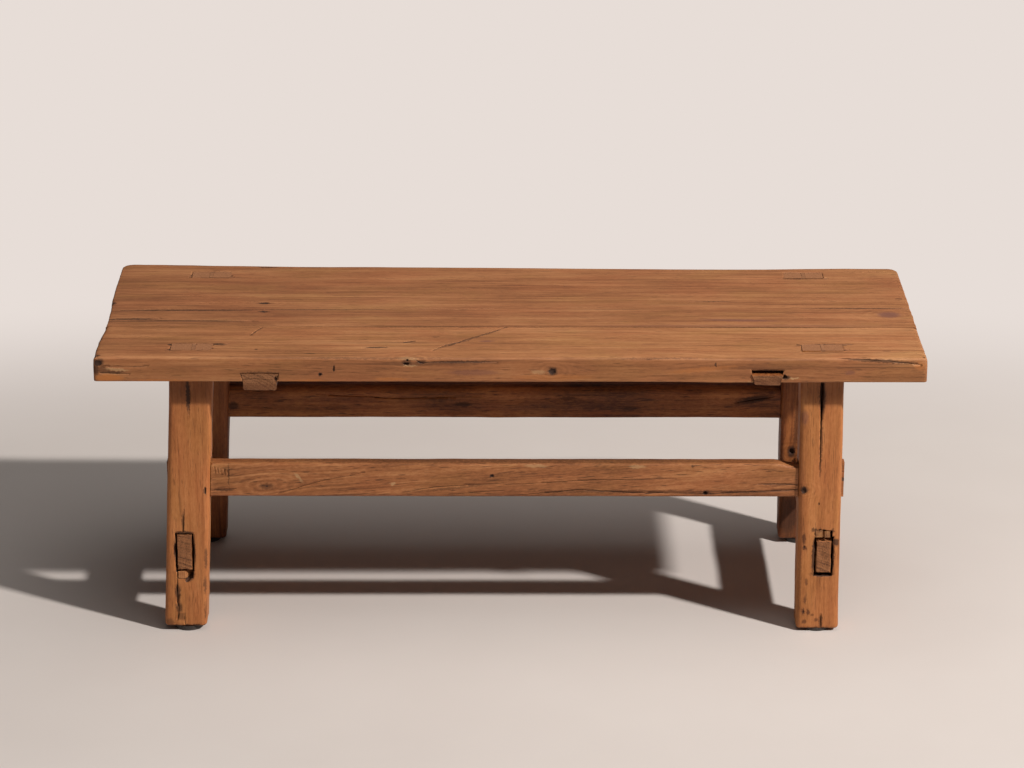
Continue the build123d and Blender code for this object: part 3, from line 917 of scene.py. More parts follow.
def is_front_corner(edge):
    at_front = middle_of(edge).y < FRONT_LOW.y + 10 * HAIR
    return runs_along(edge, Z) and at_front and edge.calc_face_angle(0) > 0.5


front_board = add_block("front_board", FRONT_LOW, FRONT_HIGH)
redraw(front_board, X, LEFT_END, Y, FRONT_LEFT_END)
print("front corners:", round_edges(front_board, 5, 4, is_front_corner))
round_arris(front_board, BOARD_TOP, FRONT_SEAM, 6, 4)
round_arris(front_board, BOARD_BOTTOM, FRONT_SEAM, 2, 2)

# %% [markdown]
# Use wears a board unevenly: broad shallow hollows and a fine unevenness on its face, and small
# dents that crowd along the arrises. Three rounds of wear do this, the last one weighted towards
# the arrises. Whatever has swollen above the joiner's face is then scraped level. The jointed
# edge is left almost alone on the left, where the seam is still tight. Towards the right the
# boards have shrunk apart.

# %% The boards' wear
ARRIS_REACH = 14 * MM


def board_wear(low, high, seam):
    """How much of the broad wear each place on a board gets."""

    def weight(place):
        if abs(place.y - seam) < 1 * MM:
            return 0.15 + 0.85 * min(max((place.x + 0.05) / 0.35, 0), 1)
        if min(place.x - low.x, high.x - place.x) < 2 * MM:
            return 0.25
        return 0.6 if place.z < BOARD_BOTTOM + 1 * MM else 0.8

    return weight


def arris_wear(low, high, seam):
    """How near each place is to an outer arris of the upper face, from 0 to 1."""

    def weight(place):
        if abs(place.y - seam) < 30 * MM and low.x + 0.02 < place.x < high.x - 0.02:
            return 0.0
        sides = [place.x - low.x, high.x - place.x]
        sides.append(abs(place.y - (low.y if seam > (low.y + high.y) / 2 else high.y)))
        away = max(min(sides), 0) + max(high.z - place.z, 0)
        most = 0.45 if seam < 0 and place.y > seam + 0.1 else 1.0
        return most * max(0.0, 1 - away / ARRIS_REACH)

    return weight


def wear_board(board, low, high, seam, seed):
    slice_up(board, (X, 4), (Y, 4.5), (Z, 5))
    weather(board, 1.1 * MM, (0.30, 0.05, 0.05), seed, board_wear(low, high, seam))
    weather(board, 0.35 * MM, (0.08, 0.012, 0.012), seed + 1, board_wear(low, high, seam))
    weather(board, 1.8 * MM, (0.05, 0.02, 0.02), seed + 2, arris_wear(low, high, seam))
    with edit_mode(board):
        print("scraped level:", select("VERT", lambda c: c.co.z > high.z))
        bpy.ops.transform.resize(value=(1, 1, 0), center_override=(0, 0, high.z))
    print(f"{board.name}: {len(board.data.polygons)} faces")


def is_hand_worn(corner):
    """Whether a corner lies where hands have worn the front arris down."""
    x, y, z = corner.co
    return abs(x - 0.36) < 0.04 and y < FRONT_LOW.y + 4 * MM and z > BOARD_TOP - 12 * MM


wear_board(front_board, FRONT_LOW, FRONT_HIGH, FRONT_SEAM, 3)
press(front_board, (0, 2.5 * MM, -2 * MM), 0.09, is_hand_worn)

# %% [markdown]
# The mortises were chopped by hand, so their walls wander and the saw ran past their corners.
# Each is cut with an upright block whose faces are uneven, set round the middle of its tenon.

# %% Mortises through the top
TENON_WIDTH, TENON_DEPTH = 60, 27


def mortise_tool(corner, front_gap, rear_gap, seed):
    """A tool for a leg's mortise in the top, from the gaps it leaves before and behind the
    tenon."""
    middle = tenon_middle(corner, (BOARD_TOP + BOARD_BOTTOM) / 2)
    low = middle - Vector((TENON_WIDTH / 2, TENON_DEPTH / 2 + front_gap, 30)) * MM
    high = middle + Vector((TENON_WIDTH / 2, TENON_DEPTH / 2 + rear_gap, 30)) * MM
    return rough_block(low, high, (0, 0, 0), seed, 0.8)


# %% [markdown]
# A batten's housing is the batten's own section, with room above and below it. The right batten
# has sunk, so a dark slot shows above it.


# %% Batten housings
def housing_tool(node, over):
    """A tool for a batten's housing: the batten, raised by over mm, and drawn out past the
    edges."""
    tool = swollen(node, 0)
    with edit_mode(tool):
        select("VERT", lambda c: c.co.z > BOARD_BOTTOM + 5 * MM)
        bpy.ops.transform.translate(value=(0, 0, over * MM))
        select("VERT", lambda c: c.co.z < BOARD_BOTTOM - 1 * MM)
        bpy.ops.transform.translate(value=(0, 0, -3 * MM))
        select_all()
        bpy.ops.transform.resize(value=(1, 1.02, 1), center_override=box_middle(node))
        bpy.ops.mesh.subdivide(number_cuts=3)
        bpy.ops.transform.vertex_random(offset=0.5 * MM, uniform=0.5, normal=0.1, seed=5)
    return tool


# %% [markdown]
# Cracks and holes are laid where use and the seasons have put them: along the grain from the
# ends, past the mortises where the saw ran on, and at the knots of the front edge. Each is
# placed by an X and, on the upper face, a Y. On the front edge the second number says how far
# down it lies.


# %% Cracks and holes of the top
def top_crack(start, path, depth, seed):
    """A crack in the upper face from a place, along X. Its path goes aside along Y."""
    return blade((*start, BOARD_TOP / MM), ALONG, UPWARDS, path, depth, seed)


def top_pit(x, y, size, seed):
    """A shallow hole in the upper face."""
    return pit((x, y, BOARD_TOP / MM + 0.5), ALONG, UPWARDS, size, seed)


def front_crack(start, path, depth, seed):
    """A crack in the front edge, along X. It starts at an X, so far below the upper face, and
    its path goes aside upwards."""
    x, down = start
    return blade((x, FRONT_LOW.y / MM, BOARD_TOP / MM - down), ALONG, FORWARDS, path, depth, seed)


def front_pit(x, down, size, seed, out=0):
    """A hole in the front edge at an X, so far below the upper face."""
    return pit((x, FRONT_LOW.y / MM - out, BOARD_TOP / MM - down), ALONG, FORWARDS, size, seed)


# %% [markdown]
# The front board has the most cuts: two mortises with the saw marks at their corners, the
# housings of both battens, drying cracks and knot holes in its front edge, and long dents in its
# face. In the edge, the crack at the right end runs deepest.

# %% Cutting the front board
front_tools = [
    mortise_tool("front_left", 0.1, 1.3, 1),
    mortise_tool("front_right", 0.8, 1.0, 2),
    housing_tool("batten_left", 0.3),
    housing_tool("batten_right", 4.2),
    # Where the saw ran past the mortises
    top_crack((-498, -159), [(0, 0, 0.4), (10, 0, 1.3), (78, 1, 1.3), (92, 4, 0.3)], 6, 11),
    top_crack((-497, -183), [(0, 0, 0.5), (6, 0, 1.6), (14, 0, 0.4)], 4, 12),
    top_crack(
        (413, -156),
        [(0, 1, 1.2), (8, -2, 1.4), (24, 0, 0.4), (40, 0, 1.9), (70, -2, 1.6), (86, 2, 0.4)],
        6,
        13,
    ),
    top_crack(
        (414, -180), [(0, 0, 0.4), (12, 0, 1.2), (30, 0, 0.4), (62, 0, 1.9), (77, 1, 0.6)], 4, 14
    ),
    # Cracks and knot holes of the front edge
    front_crack((-122, 8), [(0, 0, 0.9), (30, 1, 0.7), (60, 1, 0.7), (104, 1, 0.2)], 2, 15),
    front_crack((470, 2), [(0, 0, 0.3), (32, -1, 1.0), (73, -3, 1.2), (122, -9, 0.8)], 6, 16),
    front_crack((-379, 24), [(0, 0, 0.9), (19, -1, 0.3)], 4, 17),
    front_crack((-590, 24), [(0, 0, 1.2), (22, -1, 1.5), (42, -2, 0.4)], 3, 18),
    front_crack((-586, 14), [(0, 0, 0.6), (26, -1, 1.0), (66, 0, 0.3)], 1.5, 19),
    front_pit(-594, 9, (8, 5, 2), 20, 0.4),
    front_pit(-150, 10, (4.5, 1.6, 3), 21, -1),
    front_pit(-148.5, 4.5, (2.2, 1.4, 2.5), 28, -2),
    front_crack((-136, 5), [(0, 0, 0.8), (5, -2, 2.6), (10, -4, 1.7), (16, -3, 0.6)], 3.5, 22),
    front_pit(-274, 26, (1.8, 1.6, 3), 23),
    front_pit(-254, 17, (0.9, 4, 3), 24),
    front_pit(60, 21, (6, 5, 3), 25, 1),
    front_pit(295, 12, (1, 3, 2.5), 26),
    front_pit(392, 30, (7, 3.5, 9), 27),
    # Dents in the upper face
    top_crack((-114, -186), [(0, 0, 0.3), (20, 27, 1.4), (47, 41, 1.0), (113, 110, 0.3)], 1.0, 31),
    top_crack((-214, -175), [(0, 0, 0.8), (16, 2, 2.4), (35, 4, 0.8)], 1.2, 32),
    top_crack((-157, -150), [(0, 0, 0.5), (9, 3, 1.5), (18, 6, 0.5)], 1.0, 33),
    top_crack((-381, -120), [(0, 0, 0.3), (10, 24, 0.8), (17, 38, 0.3)], 0.8, 34),
]
carve(front_board, front_tools)

# %% [markdown]
# ## The rear board
#
# The wide board is a slab with its own edge: it's deepest at the left end, narrows to the right
# and comes back a little, and its rear corners are well rounded. A long crack runs along its
# pith from the left end, and a shorter one from the right, past a knot.

# %% The rear board's block
REAR_LOW, REAR_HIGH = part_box("top_rear_board")
REAR_SEAM = REAR_LOW.y
REAR_LEFT_END = ((-80.85, -596), (-46, -596), (-3, -597), (41, -599), (98, -600), (180, -600))
REAR_EDGE = (
    (-600, 215.3),
    (-540, 215),
    (-443, 209.5),
    (-327, 204),
    (0, 201.5),
    (200, 197),
    (330, 194.7),
    (391, 194.7),
    (457, 198),
    (522, 200),
    (600, 198.5),
)


def is_rear_corner(edge, side):
    """Whether an edge is the upright one at the left, -1, or right, 1, of the rear edge."""
    middle = middle_of(edge)
    return runs_along(edge, Z) and side * middle.x > 0.599 and middle.y > 0.19


rear_board = add_block("rear_board", REAR_LOW, REAR_HIGH)
redraw(rear_board, X, LEFT_END, Y, REAR_LEFT_END)
redraw(rear_board, Y, REAR_HIGH.y, X, REAR_EDGE)
for side, radius in ((-1, 17), (1, 15)):
    count = round_edges(rear_board, radius, 6, lambda edge: is_rear_corner(edge, side))
    print("rear corner:", side, count)
round_arris(rear_board, BOARD_TOP, REAR_SEAM, 3, 3)
round_arris(rear_board, BOARD_BOTTOM, REAR_SEAM, 3, 2)
wear_board(rear_board, REAR_LOW, REAR_HIGH, REAR_SEAM, 8)

# %% [markdown]
# The rear board is cut in the same way. Its main crack is a chain of seven points, and a wide
# lesser one beside it runs out at the left end. A chip has gone from that end too.

# %% Cutting the rear board
main_crack = [(0, 0, 1.4), (30, 2, 1.7), (60, 4, 1.5), (192, 4, 1.6), (312, 6, 1.1)]
main_crack += [(440, 9, 0.5), (560, 9, 0.2)]
rear_tools = [
    mortise_tool("rear_left", 1.3, 0.1, 3),
    mortise_tool("rear_right", 1.6, 0.1, 4),
    housing_tool("batten_left", 0.3),
    housing_tool("batten_right", 4.2),
    top_crack((-582, -8), main_crack, 9, 41),
    top_crack((-604, -49.5), [(0, 0, 2.6), (30, 2, 3.0), (60, 4, 2.2), (88, 5, 0.4)], 12, 42),
    top_crack((-600, -57), [(0, 0, 0.8), (110, 3, 0.8), (228, 3, 0.2)], 4, 43),
    top_crack((434, 7), [(0, 0, 0.2), (40, 0, 0.9), (90, 0, 1.2), (170, -2, 1.2)], 8, 44),
    top_crack((270, 36), [(0, 0, 0.2), (30, 1, 0.8), (62, 2, 0.3)], 2, 45),
    top_crack((-390, 199), [(0, 0, 0.3), (16, 0, 1.4), (32, 0, 0.3)], 2, 46),
    top_crack((-326, 203), [(0, -3, 0.3), (60, -1, 1.0), (122, -1, 0.3)], 2, 47),
    top_crack((66, 114), [(0, 0, 0.3), (14, -2, 0.6), (28, -5, 0.2)], 1, 48),
    top_crack((-494, 152.5), [(0, 0, 0.3), (8, 0, 1.1), (60, 0, 1.1), (70, 0, 0.3)], 5, 49),
    top_crack((418, 147.5), [(0, 0, 0.3), (8, 0, 1.0), (60, 0, 1.0), (72, 1, 0.3)], 5, 51),
    top_pit(-369, 27, (8, 3.5, 2), 61),
    top_pit(-367, -13, (7, 2.5, 1.8), 62),
    pit((-597, 25, 432), UPWARDS, (-1, 0, 0), (9, 2, 5), 63),
]
carve(rear_board, rear_tools)

# %% [markdown]
# ## A leg
#
# Each leg is a square post with well rounded corners, and a tenon that goes right up through the
# top. All four are modelled once, upright. Each copy is then leaned with a matrix, worn by its
# own clouds, and cut for its own stretchers.

# %% The upright leg
LEG_WIDTH, LEG_DEPTH = 64, 46
LONG_TENON, END_TENON = 22, 24
TENON_SUNK = 0.3  # how far a leg's tenon stops below the upper face, in mm
PAD_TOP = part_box("foot_pad_front_left")[1].z

leg = add_block(
    "leg",
    (-LEG_WIDTH / 2 * MM, -LEG_DEPTH / 2 * MM, PAD_TOP),
    (LEG_WIDTH / 2 * MM, LEG_DEPTH / 2 * MM, BOARD_BOTTOM),
)
with edit_mode(leg):
    select("FACE", lambda f: f.normal.z > 0.9)
    bpy.ops.mesh.inset(thickness=1 * MM)
    narrow = (TENON_WIDTH / (LEG_WIDTH - 2), TENON_DEPTH / (LEG_DEPTH - 2), 1)
    bpy.ops.transform.resize(value=narrow, center_override=(0, 0, BOARD_BOTTOM))
    bpy.ops.transform.translate(value=(0, -LEG_SETBACK * MM, 0))
    up = {"value": (0, 0, BOARD_TOP - BOARD_BOTTOM - TENON_SUNK * MM)}
    bpy.ops.mesh.extrude_region_move(TRANSFORM_OT_translate=up)
is_post_corner = lambda e: runs_along(e, Z) and middle_of(e).z < BOARD_BOTTOM
print("leg corners:", round_edges(leg, 8, 5, is_post_corner))
print("foot:", round_edges(leg, 5, 3, lambda e: middle_of(e).z < PAD_TOP + HAIR))
slice_up(leg, (X, 4), (Y, 4), (Z, 4))
print("upright leg:", len(leg.data.polygons), "faces")

# %% [markdown]
# The mortises in a leg are cut like those in the top. Each stretcher's frame box says where its
# tenon goes. The end stretchers' tenons show in the front faces of the front legs, so those
# mouths have bulged and ragged rims.


# %% Copies of the leg
def copy_of(piece, name):
    """A copy of a piece with a mesh of its own."""
    twin = piece.copy()
    twin.data = piece.data.copy()
    twin.name = name
    scene.collection.objects.link(twin)
    return twin


def leg_tools(corner, seed):
    """Everything that is cut from every leg."""
    row, side = corner.split("_")
    low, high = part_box(f"long_stretcher_{row}")
    middle = leg_middle(corner, (low.z + high.z) / 2)
    y = (low.y + high.y) / 2
    half = LONG_TENON / 2 * MM
    ends = (middle.x - 0.05, y - half, low.z), (middle.x + 0.05, y + half, high.z)
    tools = [rough_block(*ends, (0, 0.4, 0.5), seed)]
    low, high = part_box(f"end_stretcher_{side}")
    x = (low.x + high.x) / 2
    y = leg_middle(corner, (low.z + high.z) / 2).y
    half = END_TENON / 2 * MM
    ends = (x - half, y - 0.05, low.z), (x + half, y + 0.05, high.z)
    room, ragged = ((2.2, 0, 1.8), 1.5) if corner == "front_right" else ((1.4, 0, 1.0), 0.9)
    tools.append(rough_block(*ends, room, seed + 1, ragged))
    tools.append(swollen(f"key_wedge_{corner}", 0.15 * MM))
    tools.append(swollen(f"leg_wedge_{corner}", 0.3 * MM))
    return tools


def leg_wear(place):
    """A leg is worn all over, and its tenon only a little."""
    return 0.25 if place.z > BOARD_BOTTOM - 1 * MM else 1.0


def make_leg(corner, seed, longer=0):
    """A leg for one corner. longer is how much further its foot goes down, in mm."""
    piece = copy_of(leg, f"leg_of_{corner}")
    with edit_mode(piece):
        select("VERT", lambda c: c.co.z < 0.05)
        bpy.ops.transform.translate(value=(0, 0, -longer * MM))
    weather(piece, 1.2 * MM, (0.035, 0.035, 0.13), seed, leg_wear)
    weather(piece, 0.35 * MM, (0.010, 0.010, 0.040), seed + 1, leg_wear)
    piece.data.transform(leaning(corner))
    return piece


def leg_face(corner, x, z, row=-1):
    """A place on the front face of a leg, or with a row of 1 on its rear face."""
    middle = leg_middle(corner, z * MM)
    return (x, (middle.y / MM) + row * LEG_DEPTH / 2, z)


def leg_crack(corner, start, path, depth, seed, row=-1):
    """A crack down a face of a leg from a place in X and Z. Its path goes aside towards +X on
    a front face."""
    x, z = start
    foot = leg_middle(corner, z * MM - 0.1)
    head = leg_middle(corner, z * MM)
    down = (0, (foot - head).y, -0.1)
    return blade(leg_face(corner, x, z, row), down, (0, row, 0), path, depth, seed)


def leg_pit(corner, x, z, size, seed, along=UPWARDS):
    """A hole in the front face of a leg."""
    return pit(leg_face(corner, x, z), along, FORWARDS, size, seed)


def worm_holes(corner, places, seed):
    """Small holes in the front face of a leg, at places in X and Z."""
    return [leg_pit(corner, x, z, (2.5, 1.2, 2), seed + n) for n, (x, z) in enumerate(places)]


# %% [markdown]
# The front left leg was knocked sideways once, and its foot has split. Its lower mortise has
# lost splinters at both sides, and the wood below it has chipped away.

# %% The front left leg
leg_front_left = make_leg("front_left", 13)
tools = leg_tools("front_left", 71)
mouth_crack = [(0, 0, 0.8), (8, 1, 1.0), (14, 0, 3.0), (28, 1, 2.2), (38, 0, 3.2), (46, 2, 1.0)]
mouth_crack += [(58, 1, 1.6), (68, -1, 0.3)]
tools += [
    leg_crack("front_left", (-481, 193), [(0, 3, 0.2), (16, 1, 0.9), (36, 0, 1.4)], 9, 72),
    leg_crack("front_left", (-492, 84), mouth_crack, 8, 73),
    leg_crack("front_left", (-482, 28), [(0, 0, 0.3), (8, 0, 1.2), (18, 1, 0.8)], 8, 74),
    leg_crack("front_left", (-466, 391), [(0, 0, 0.4), (20, 2, 0.8), (52, -1, 0.2)], 3, 75),
    leg_pit("front_left", -492.5, 129, (11, 2.6, 6), 76),
    leg_pit("front_left", -466.5, 127, (12, 2.2, 6), 77),
    leg_pit("front_left", -473, 88, (11, 4.5, 6), 78, (0.5, 0, 1)),
    leg_pit("front_left", -446, 223, (6, 1.5, 2), 79),
]
tools += worm_holes("front_left", ((-447, 121), (-450, 75), (-446, 40)), 80)
carve(leg_front_left, tools)

# %% [markdown]
# The front right leg has a wide crack down from the top, along the heart of its tree, and a knot
# hole below it. Its foot hangs a little lower in its pad than the others.

# %% The front right leg
leg_front_right = make_leg("front_right", 17, 3.5)
tools = leg_tools("front_right", 91)
heart_crack = [(0, 0, 5.5), (10, 0, 7.0), (38, 0, 4.0), (50, 0, 2.6), (89, 0, 1.6), (147, 1, 0.3)]
tools += [
    leg_crack("front_right", (452, 392), heart_crack, 16, 92),
    leg_crack("front_right", (461, 29), [(0, 0, 0.3), (8, 0, 1.4), (24, 1, 1.0)], 9, 93),
    leg_pit("front_right", 430, 224, (5, 4, 3), 94),
    leg_pit("front_right", 459, 156, (7, 11, 9), 95),
]
tools += worm_holes("front_right", ((433, 135), (435, 32), (453, 203)), 96)
carve(leg_front_right, tools)

# %% [markdown]
# The rear legs are the same posts again, with a drying crack down each outer face. The right one
# has a knot hole that shows from the front, below the long stretcher.

# %% The rear legs
leg_rear_left = make_leg("rear_left", 23)
tools = leg_tools("rear_left", 111)
left_path = [(0, 0, 0.3), (60, 2, 1.4), (150, -2, 0.3)]
tools.append(leg_crack("rear_left", (-470, 330), left_path, 8, 113, 1))
carve(leg_rear_left, tools)

leg_rear_right = make_leg("rear_right", 29)
tools = leg_tools("rear_right", 121)
right_path = [(0, 0, 1.6), (60, 2, 1.8), (140, -2, 0.4)]
tools.append(leg_crack("rear_right", (450, 372), right_path, 10, 123, 1))
tools.append(leg_pit("rear_right", 441, 157, (5, 4, 5), 124))
carve(leg_rear_right, tools)
bpy.data.objects.remove(leg)

# %% [markdown]
# ## The long stretchers
#
# A long stretcher lies between a left and a right leg. Its shoulders lean like the legs, and its
# tenon, as high as its body but thinner, goes right through each leg. It's a block cut into
# three along its length, whose middle strip is drawn out at both ends.


# %% The long stretcher
LONG_LOW, LONG_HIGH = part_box("long_stretcher_front")
LONG_THICKNESS = 32
RIGHT_TENON_PROUD = 3.5  # how far the tenons stand out of the right legs, in mm


def inner_face(side, z):
    """Where the inner face of a left or right leg lies at a height."""
    out = -1 if side == "left" else 1
    return leg_middle(f"front_{side}", z).x - out * LEG_WIDTH / 2 * MM


def lean_end(piece, edge, side):
    """In edit mode, moves the corners at one end of a stretcher to the leaning face of a leg."""
    shape = bmesh.from_edit_mesh(piece.data)
    levels = {round(c.co.z, 6) for c in shape.verts if meets(c.co.x, edge)}
    for z in sorted(levels):
        select("VERT", lambda c: meets(c.co.x, edge) and abs(c.co.z - z) < 2e-6)
        bpy.ops.transform.translate(value=(inner_face(side, z) - edge, 0, 0))


middle_z = (LONG_LOW.z + LONG_HIGH.z) / 2
left_shoulder, right_shoulder = inner_face("left", middle_z), inner_face("right", middle_z)
half = LONG_THICKNESS / 2 * MM
long_low = (left_shoulder, -half, LONG_LOW.z)
long_high = (right_shoulder, half, LONG_HIGH.z)
long_stretcher = add_block("long_stretcher", long_low, long_high)


def is_inner_arris(edge):
    middle = middle_of(edge)
    return runs_along(edge, X) and middle.y > half - HAIR and middle.z > middle_z


def is_other_arris(edge):
    return runs_along(edge, X) and edge.calc_face_angle(0) > 1


print("inner upper arris:", round_edges(long_stretcher, 14, 6, is_inner_arris))
print("other arrises:", round_edges(long_stretcher, 5, 4, is_other_arris))
with edit_mode(long_stretcher):
    slice_at(Y, LONG_TENON / 2 * MM)
    slice_at(Y, -LONG_TENON / 2 * MM)
    for out, length in ((-1, LEG_WIDTH), (1, LEG_WIDTH + RIGHT_TENON_PROUD)):
        in_tenon = lambda f: abs(f.calc_center_median().y) < LONG_TENON / 2 * MM
        select("FACE", lambda f: f.normal.x * out > 0.9 and in_tenon(f))
        move = {"value": (out * length * MM, 0, 0)}
        bpy.ops.mesh.extrude_region_move(TRANSFORM_OT_translate=move)
    lean_end(long_stretcher, left_shoulder, "left")
    lean_end(long_stretcher, right_shoulder, "right")
slice_up(long_stretcher, (X, 4), (Y, 4), (Z, 4))
print("long stretcher:", len(long_stretcher.data.polygons), "faces")

# %% [markdown]
# The rear stretcher is the front one mirrored, with wear of its own. A mirrored mesh has its
# faces inside out, so they're flipped. Then each is moved to where its frame box lies.


# %% Wear and place of the long stretchers
def stretcher_wear(place):
    """The bodies are worn, and the tenons only a little."""
    inside = left_shoulder + 2 * MM < place.x < right_shoulder - 2 * MM
    return 1.0 if inside else 0.3


def make_long_stretcher(row, seed):
    piece = copy_of(long_stretcher, f"{row}_long_stretcher")
    if row == "rear":
        piece.data.transform(Matrix.Diagonal((1, -1, 1, 1)))
        piece.data.flip_normals()
    weather(piece, 1.0 * MM, (0.16, 0.03, 0.03), seed, stretcher_wear)
    weather(piece, 0.5 * MM, (0.05, 0.009, 0.009), seed + 1, stretcher_wear)
    low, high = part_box(f"long_stretcher_{row}")
    piece.data.transform(Matrix.Translation((0, (low.y + high.y) / 2, 0)))
    return piece


def rail_crack(row, start, path, depth, seed):
    """A crack along the front face of a long stretcher from a place in X and Z."""
    x, z = start
    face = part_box(f"long_stretcher_{row}")[0].y / MM
    return blade((x, face, z), ALONG, FORWARDS, path, depth, seed)


def rail_pit(x, z, size, seed, out=0):
    """A hole in the face of the front long stretcher."""
    return pit((x, LONG_LOW.y / MM - out, z), ALONG, FORWARDS, size, seed)


# %% [markdown]
# The front stretcher has drying cracks that climb with its grain, three knot holes, a corner
# that droops at the right shoulder, and five nicks where a saw was tried at its left end.

# %% The front stretcher
front_rail = make_long_stretcher("front", 31)
press(
    front_rail,
    (0, 0, -5 * MM),
    0.032,
    lambda c: 0.414 < c.co.x < 0.4195 and c.co.z > LONG_HIGH.z - 2 * MM,
)
tools = [swollen(f"long_wedge_front_{side}", 0.3 * MM) for side in ("left", "right")]
low_path = [(0, 0, 0.4), (112, 11, 1.3), (196, 6, 1.0), (300, 5, 1.0), (430, 11, 1.3)]
tools += [
    rail_crack("front", (-342, 215), [(0, 0, 0.3), (60, 19, 1.0), (130, 34, 0.2)], 5, 131),
    rail_crack("front", (-438, 220), [(0, 0, 0.8), (36, 3, 0.3)], 4, 132),
    rail_crack("front", (-162, 216), [(0, 0, 0.3), (50, 10, 1.0), (152, 16, 0.4)], 5, 133),
    rail_crack("front", (-100, 213), [(0, 0, 0.3), (50, 5, 0.8), (92, 7, 0.3)], 4, 134),
    rail_crack("front", (-10, 229), [(0, 0, 0.3), (124, 8, 1.1), (254, 10, 0.3)], 6, 135),
    rail_crack("front", (-10, 211), low_path, 7, 136),
    rail_crack("front", (362, 231), [(0, 0, 0.3), (30, 0, 0.9), (60, -1, 1.0)], 5, 137),
    rail_pit(286, 217, (3.5, 2.5, 4), 138),
    rail_pit(-27, 244, (2.5, 2, 1.5), 139),
    rail_pit(-357, 227, (3, 1.5, 1.2), 140, 0.5),
]
for n in range(5):
    place = (-433 + 4.5 * n, LONG_LOW.y / MM, 258)
    nick = [(0, 0, 0.3), (8, 1, 0.9), (16, 2, 0.3)]
    tools.append(blade(place, DOWNWARDS, FORWARDS, nick, 0.8, 141 + n))
carve(front_rail, tools)

# %% [markdown]
# The rear stretcher is mostly in the shade, so it has only the two cracks that can be seen.

# %% The rear stretcher
rear_rail = make_long_stretcher("rear", 37)
tools = [swollen(f"long_wedge_rear_{side}", 0.3 * MM) for side in ("left", "right")]
tools += [
    rail_crack("rear", (350, 235), [(0, 0, 0.4), (30, 6, 1.8), (62, 11, 0.5)], 7, 151),
    rail_crack("rear", (-300, 249), [(0, 0, 0.3), (120, -6, 1.0), (260, -4, 0.3)], 5, 152),
]
carve(rear_rail, tools)
bpy.data.objects.remove(long_stretcher)

# %% [markdown]
# ## The end stretchers
#
# These are the same joint turned across the table, and lower down. The right one lies a few
# millimetres lower than the left one, because the joiner marked each pair of legs by eye.

# %% The end stretcher
END_THICKNESS = 34


def make_end_stretcher(side, worn, seed):
    """An end stretcher. worn is what its front tenon has lost below and above, in mm."""
    low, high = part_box(f"end_stretcher_{side}")
    x = (low.x + high.x) / 2
    half = END_THICKNESS / 2 * MM
    inner = [leg_middle(f"{row}_{side}", low.z).y for row in ("front", "rear")]
    front, rear = inner[0] + LEG_DEPTH / 2 * MM, inner[1] - LEG_DEPTH / 2 * MM
    piece = add_block(f"{side}_end_stretcher", (x - half, front, low.z), (x + half, rear, high.z))
    with edit_mode(piece):
        slice_at(X, x - END_TENON / 2 * MM)
        slice_at(X, x + END_TENON / 2 * MM)
        for edge, row in ((front, "front"), (rear, "rear")):
            select("VERT", lambda c: meets(c.co.y, edge) and meets(c.co.z, high.z))
            lean = leg_middle(f"{row}_{side}", high.z).y - leg_middle(f"{row}_{side}", low.z).y
            bpy.ops.transform.translate(value=(0, lean, 0))
    is_outer = lambda e: runs_along(e, Y) and meets(abs(middle_of(e).x - x), half)
    round_edges(piece, 5, 3, is_outer)
    at_mouth = front - LEG_DEPTH * MM + 8 * MM
    with edit_mode(piece):
        for out in (-1, 1):
            in_tenon = lambda f: abs(f.calc_center_median().x - x) < END_TENON / 2 * MM
            select("FACE", lambda f: f.normal.y * out > 0.9 and in_tenon(f))
            move = {"value": (0, out * LEG_DEPTH * MM, 0)}
            bpy.ops.mesh.extrude_region_move(TRANSFORM_OT_translate=move)
        for level, lost in ((low.z, worn[0]), (high.z, -worn[1])):
            select("VERT", lambda c: c.co.y < at_mouth and meets(c.co.z, level))
            bpy.ops.transform.translate(value=(0, 0, lost * MM))
    round_edges(piece, 2.5, 3, lambda e: middle_of(e).y < at_mouth and not runs_along(e, Y))
    slice_up(piece, (X, 3), (Y, 4), (Z, 4))
    weather(piece, 1.0 * MM, (0.03, 0.12, 0.03), seed)
    weather(piece, 0.5 * MM, (0.010, 0.05, 0.010), seed + 1)
    ends = lambda place: 1.0 if place.y < at_mouth else 0.0
    weather(piece, 1.8 * MM, (0.006, 0.03, 0.012), seed + 2, ends)
    return piece


# %% [markdown]
# Each end stretcher gets a long drying crack in its outer face and a short one in the end of its
# front tenon, which crosses the end grain from above.

# %% The left and right end stretchers
left_rail = make_end_stretcher("left", (0.5, 0.5), 41)
low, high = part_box("end_stretcher_left")
outer, tenon_end = (low.x / MM + 0.2, -60, 128), (-478, low.y / MM, 144)
outer_path = [(0, 0, 0.3), (60, 3, 1.2), (150, -2, 0.3)]
end_path = [(0, 0, 0.3), (14, 1, 0.7), (34, 0, 0.3)]
tools = [blade(outer, (0, 1, 0), (-1, 0, 0), outer_path, 5, 161)]
tools.append(blade(tenon_end, DOWNWARDS, FORWARDS, end_path, 4, 162))
carve(left_rail, tools)

right_rail = make_end_stretcher("right", (3, 4.5), 43)
low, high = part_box("end_stretcher_right")
outer, tenon_end = (high.x / MM - 0.2, -70, 110), (461, low.y / MM, 137)
outer_path = [(0, 0, 0.3), (70, 3, 1.2), (160, -2, 0.3)]
end_path = [(0, 0, 0.3), (14, -1, 0.8), (36, 0, 0.3)]
tools = [blade(outer, (0, 1, 0), (1, 0, 0), outer_path, 5, 163)]
tools.append(blade(tenon_end, DOWNWARDS, FORWARDS, end_path, 4, 164))
carve(right_rail, tools)

# %% [markdown]
# ## The battens
#
# A dovetail batten slides in its housing across both boards and keeps them flat. It is a bar
# whose upper half flares like a dove's tail, and it tapers along its length so that it draws
# tight as it is driven in. Its ends are rough end grain.

# %% The battens
FLARE = 3.5  # how far a batten's neck is cut in at each side, in mm


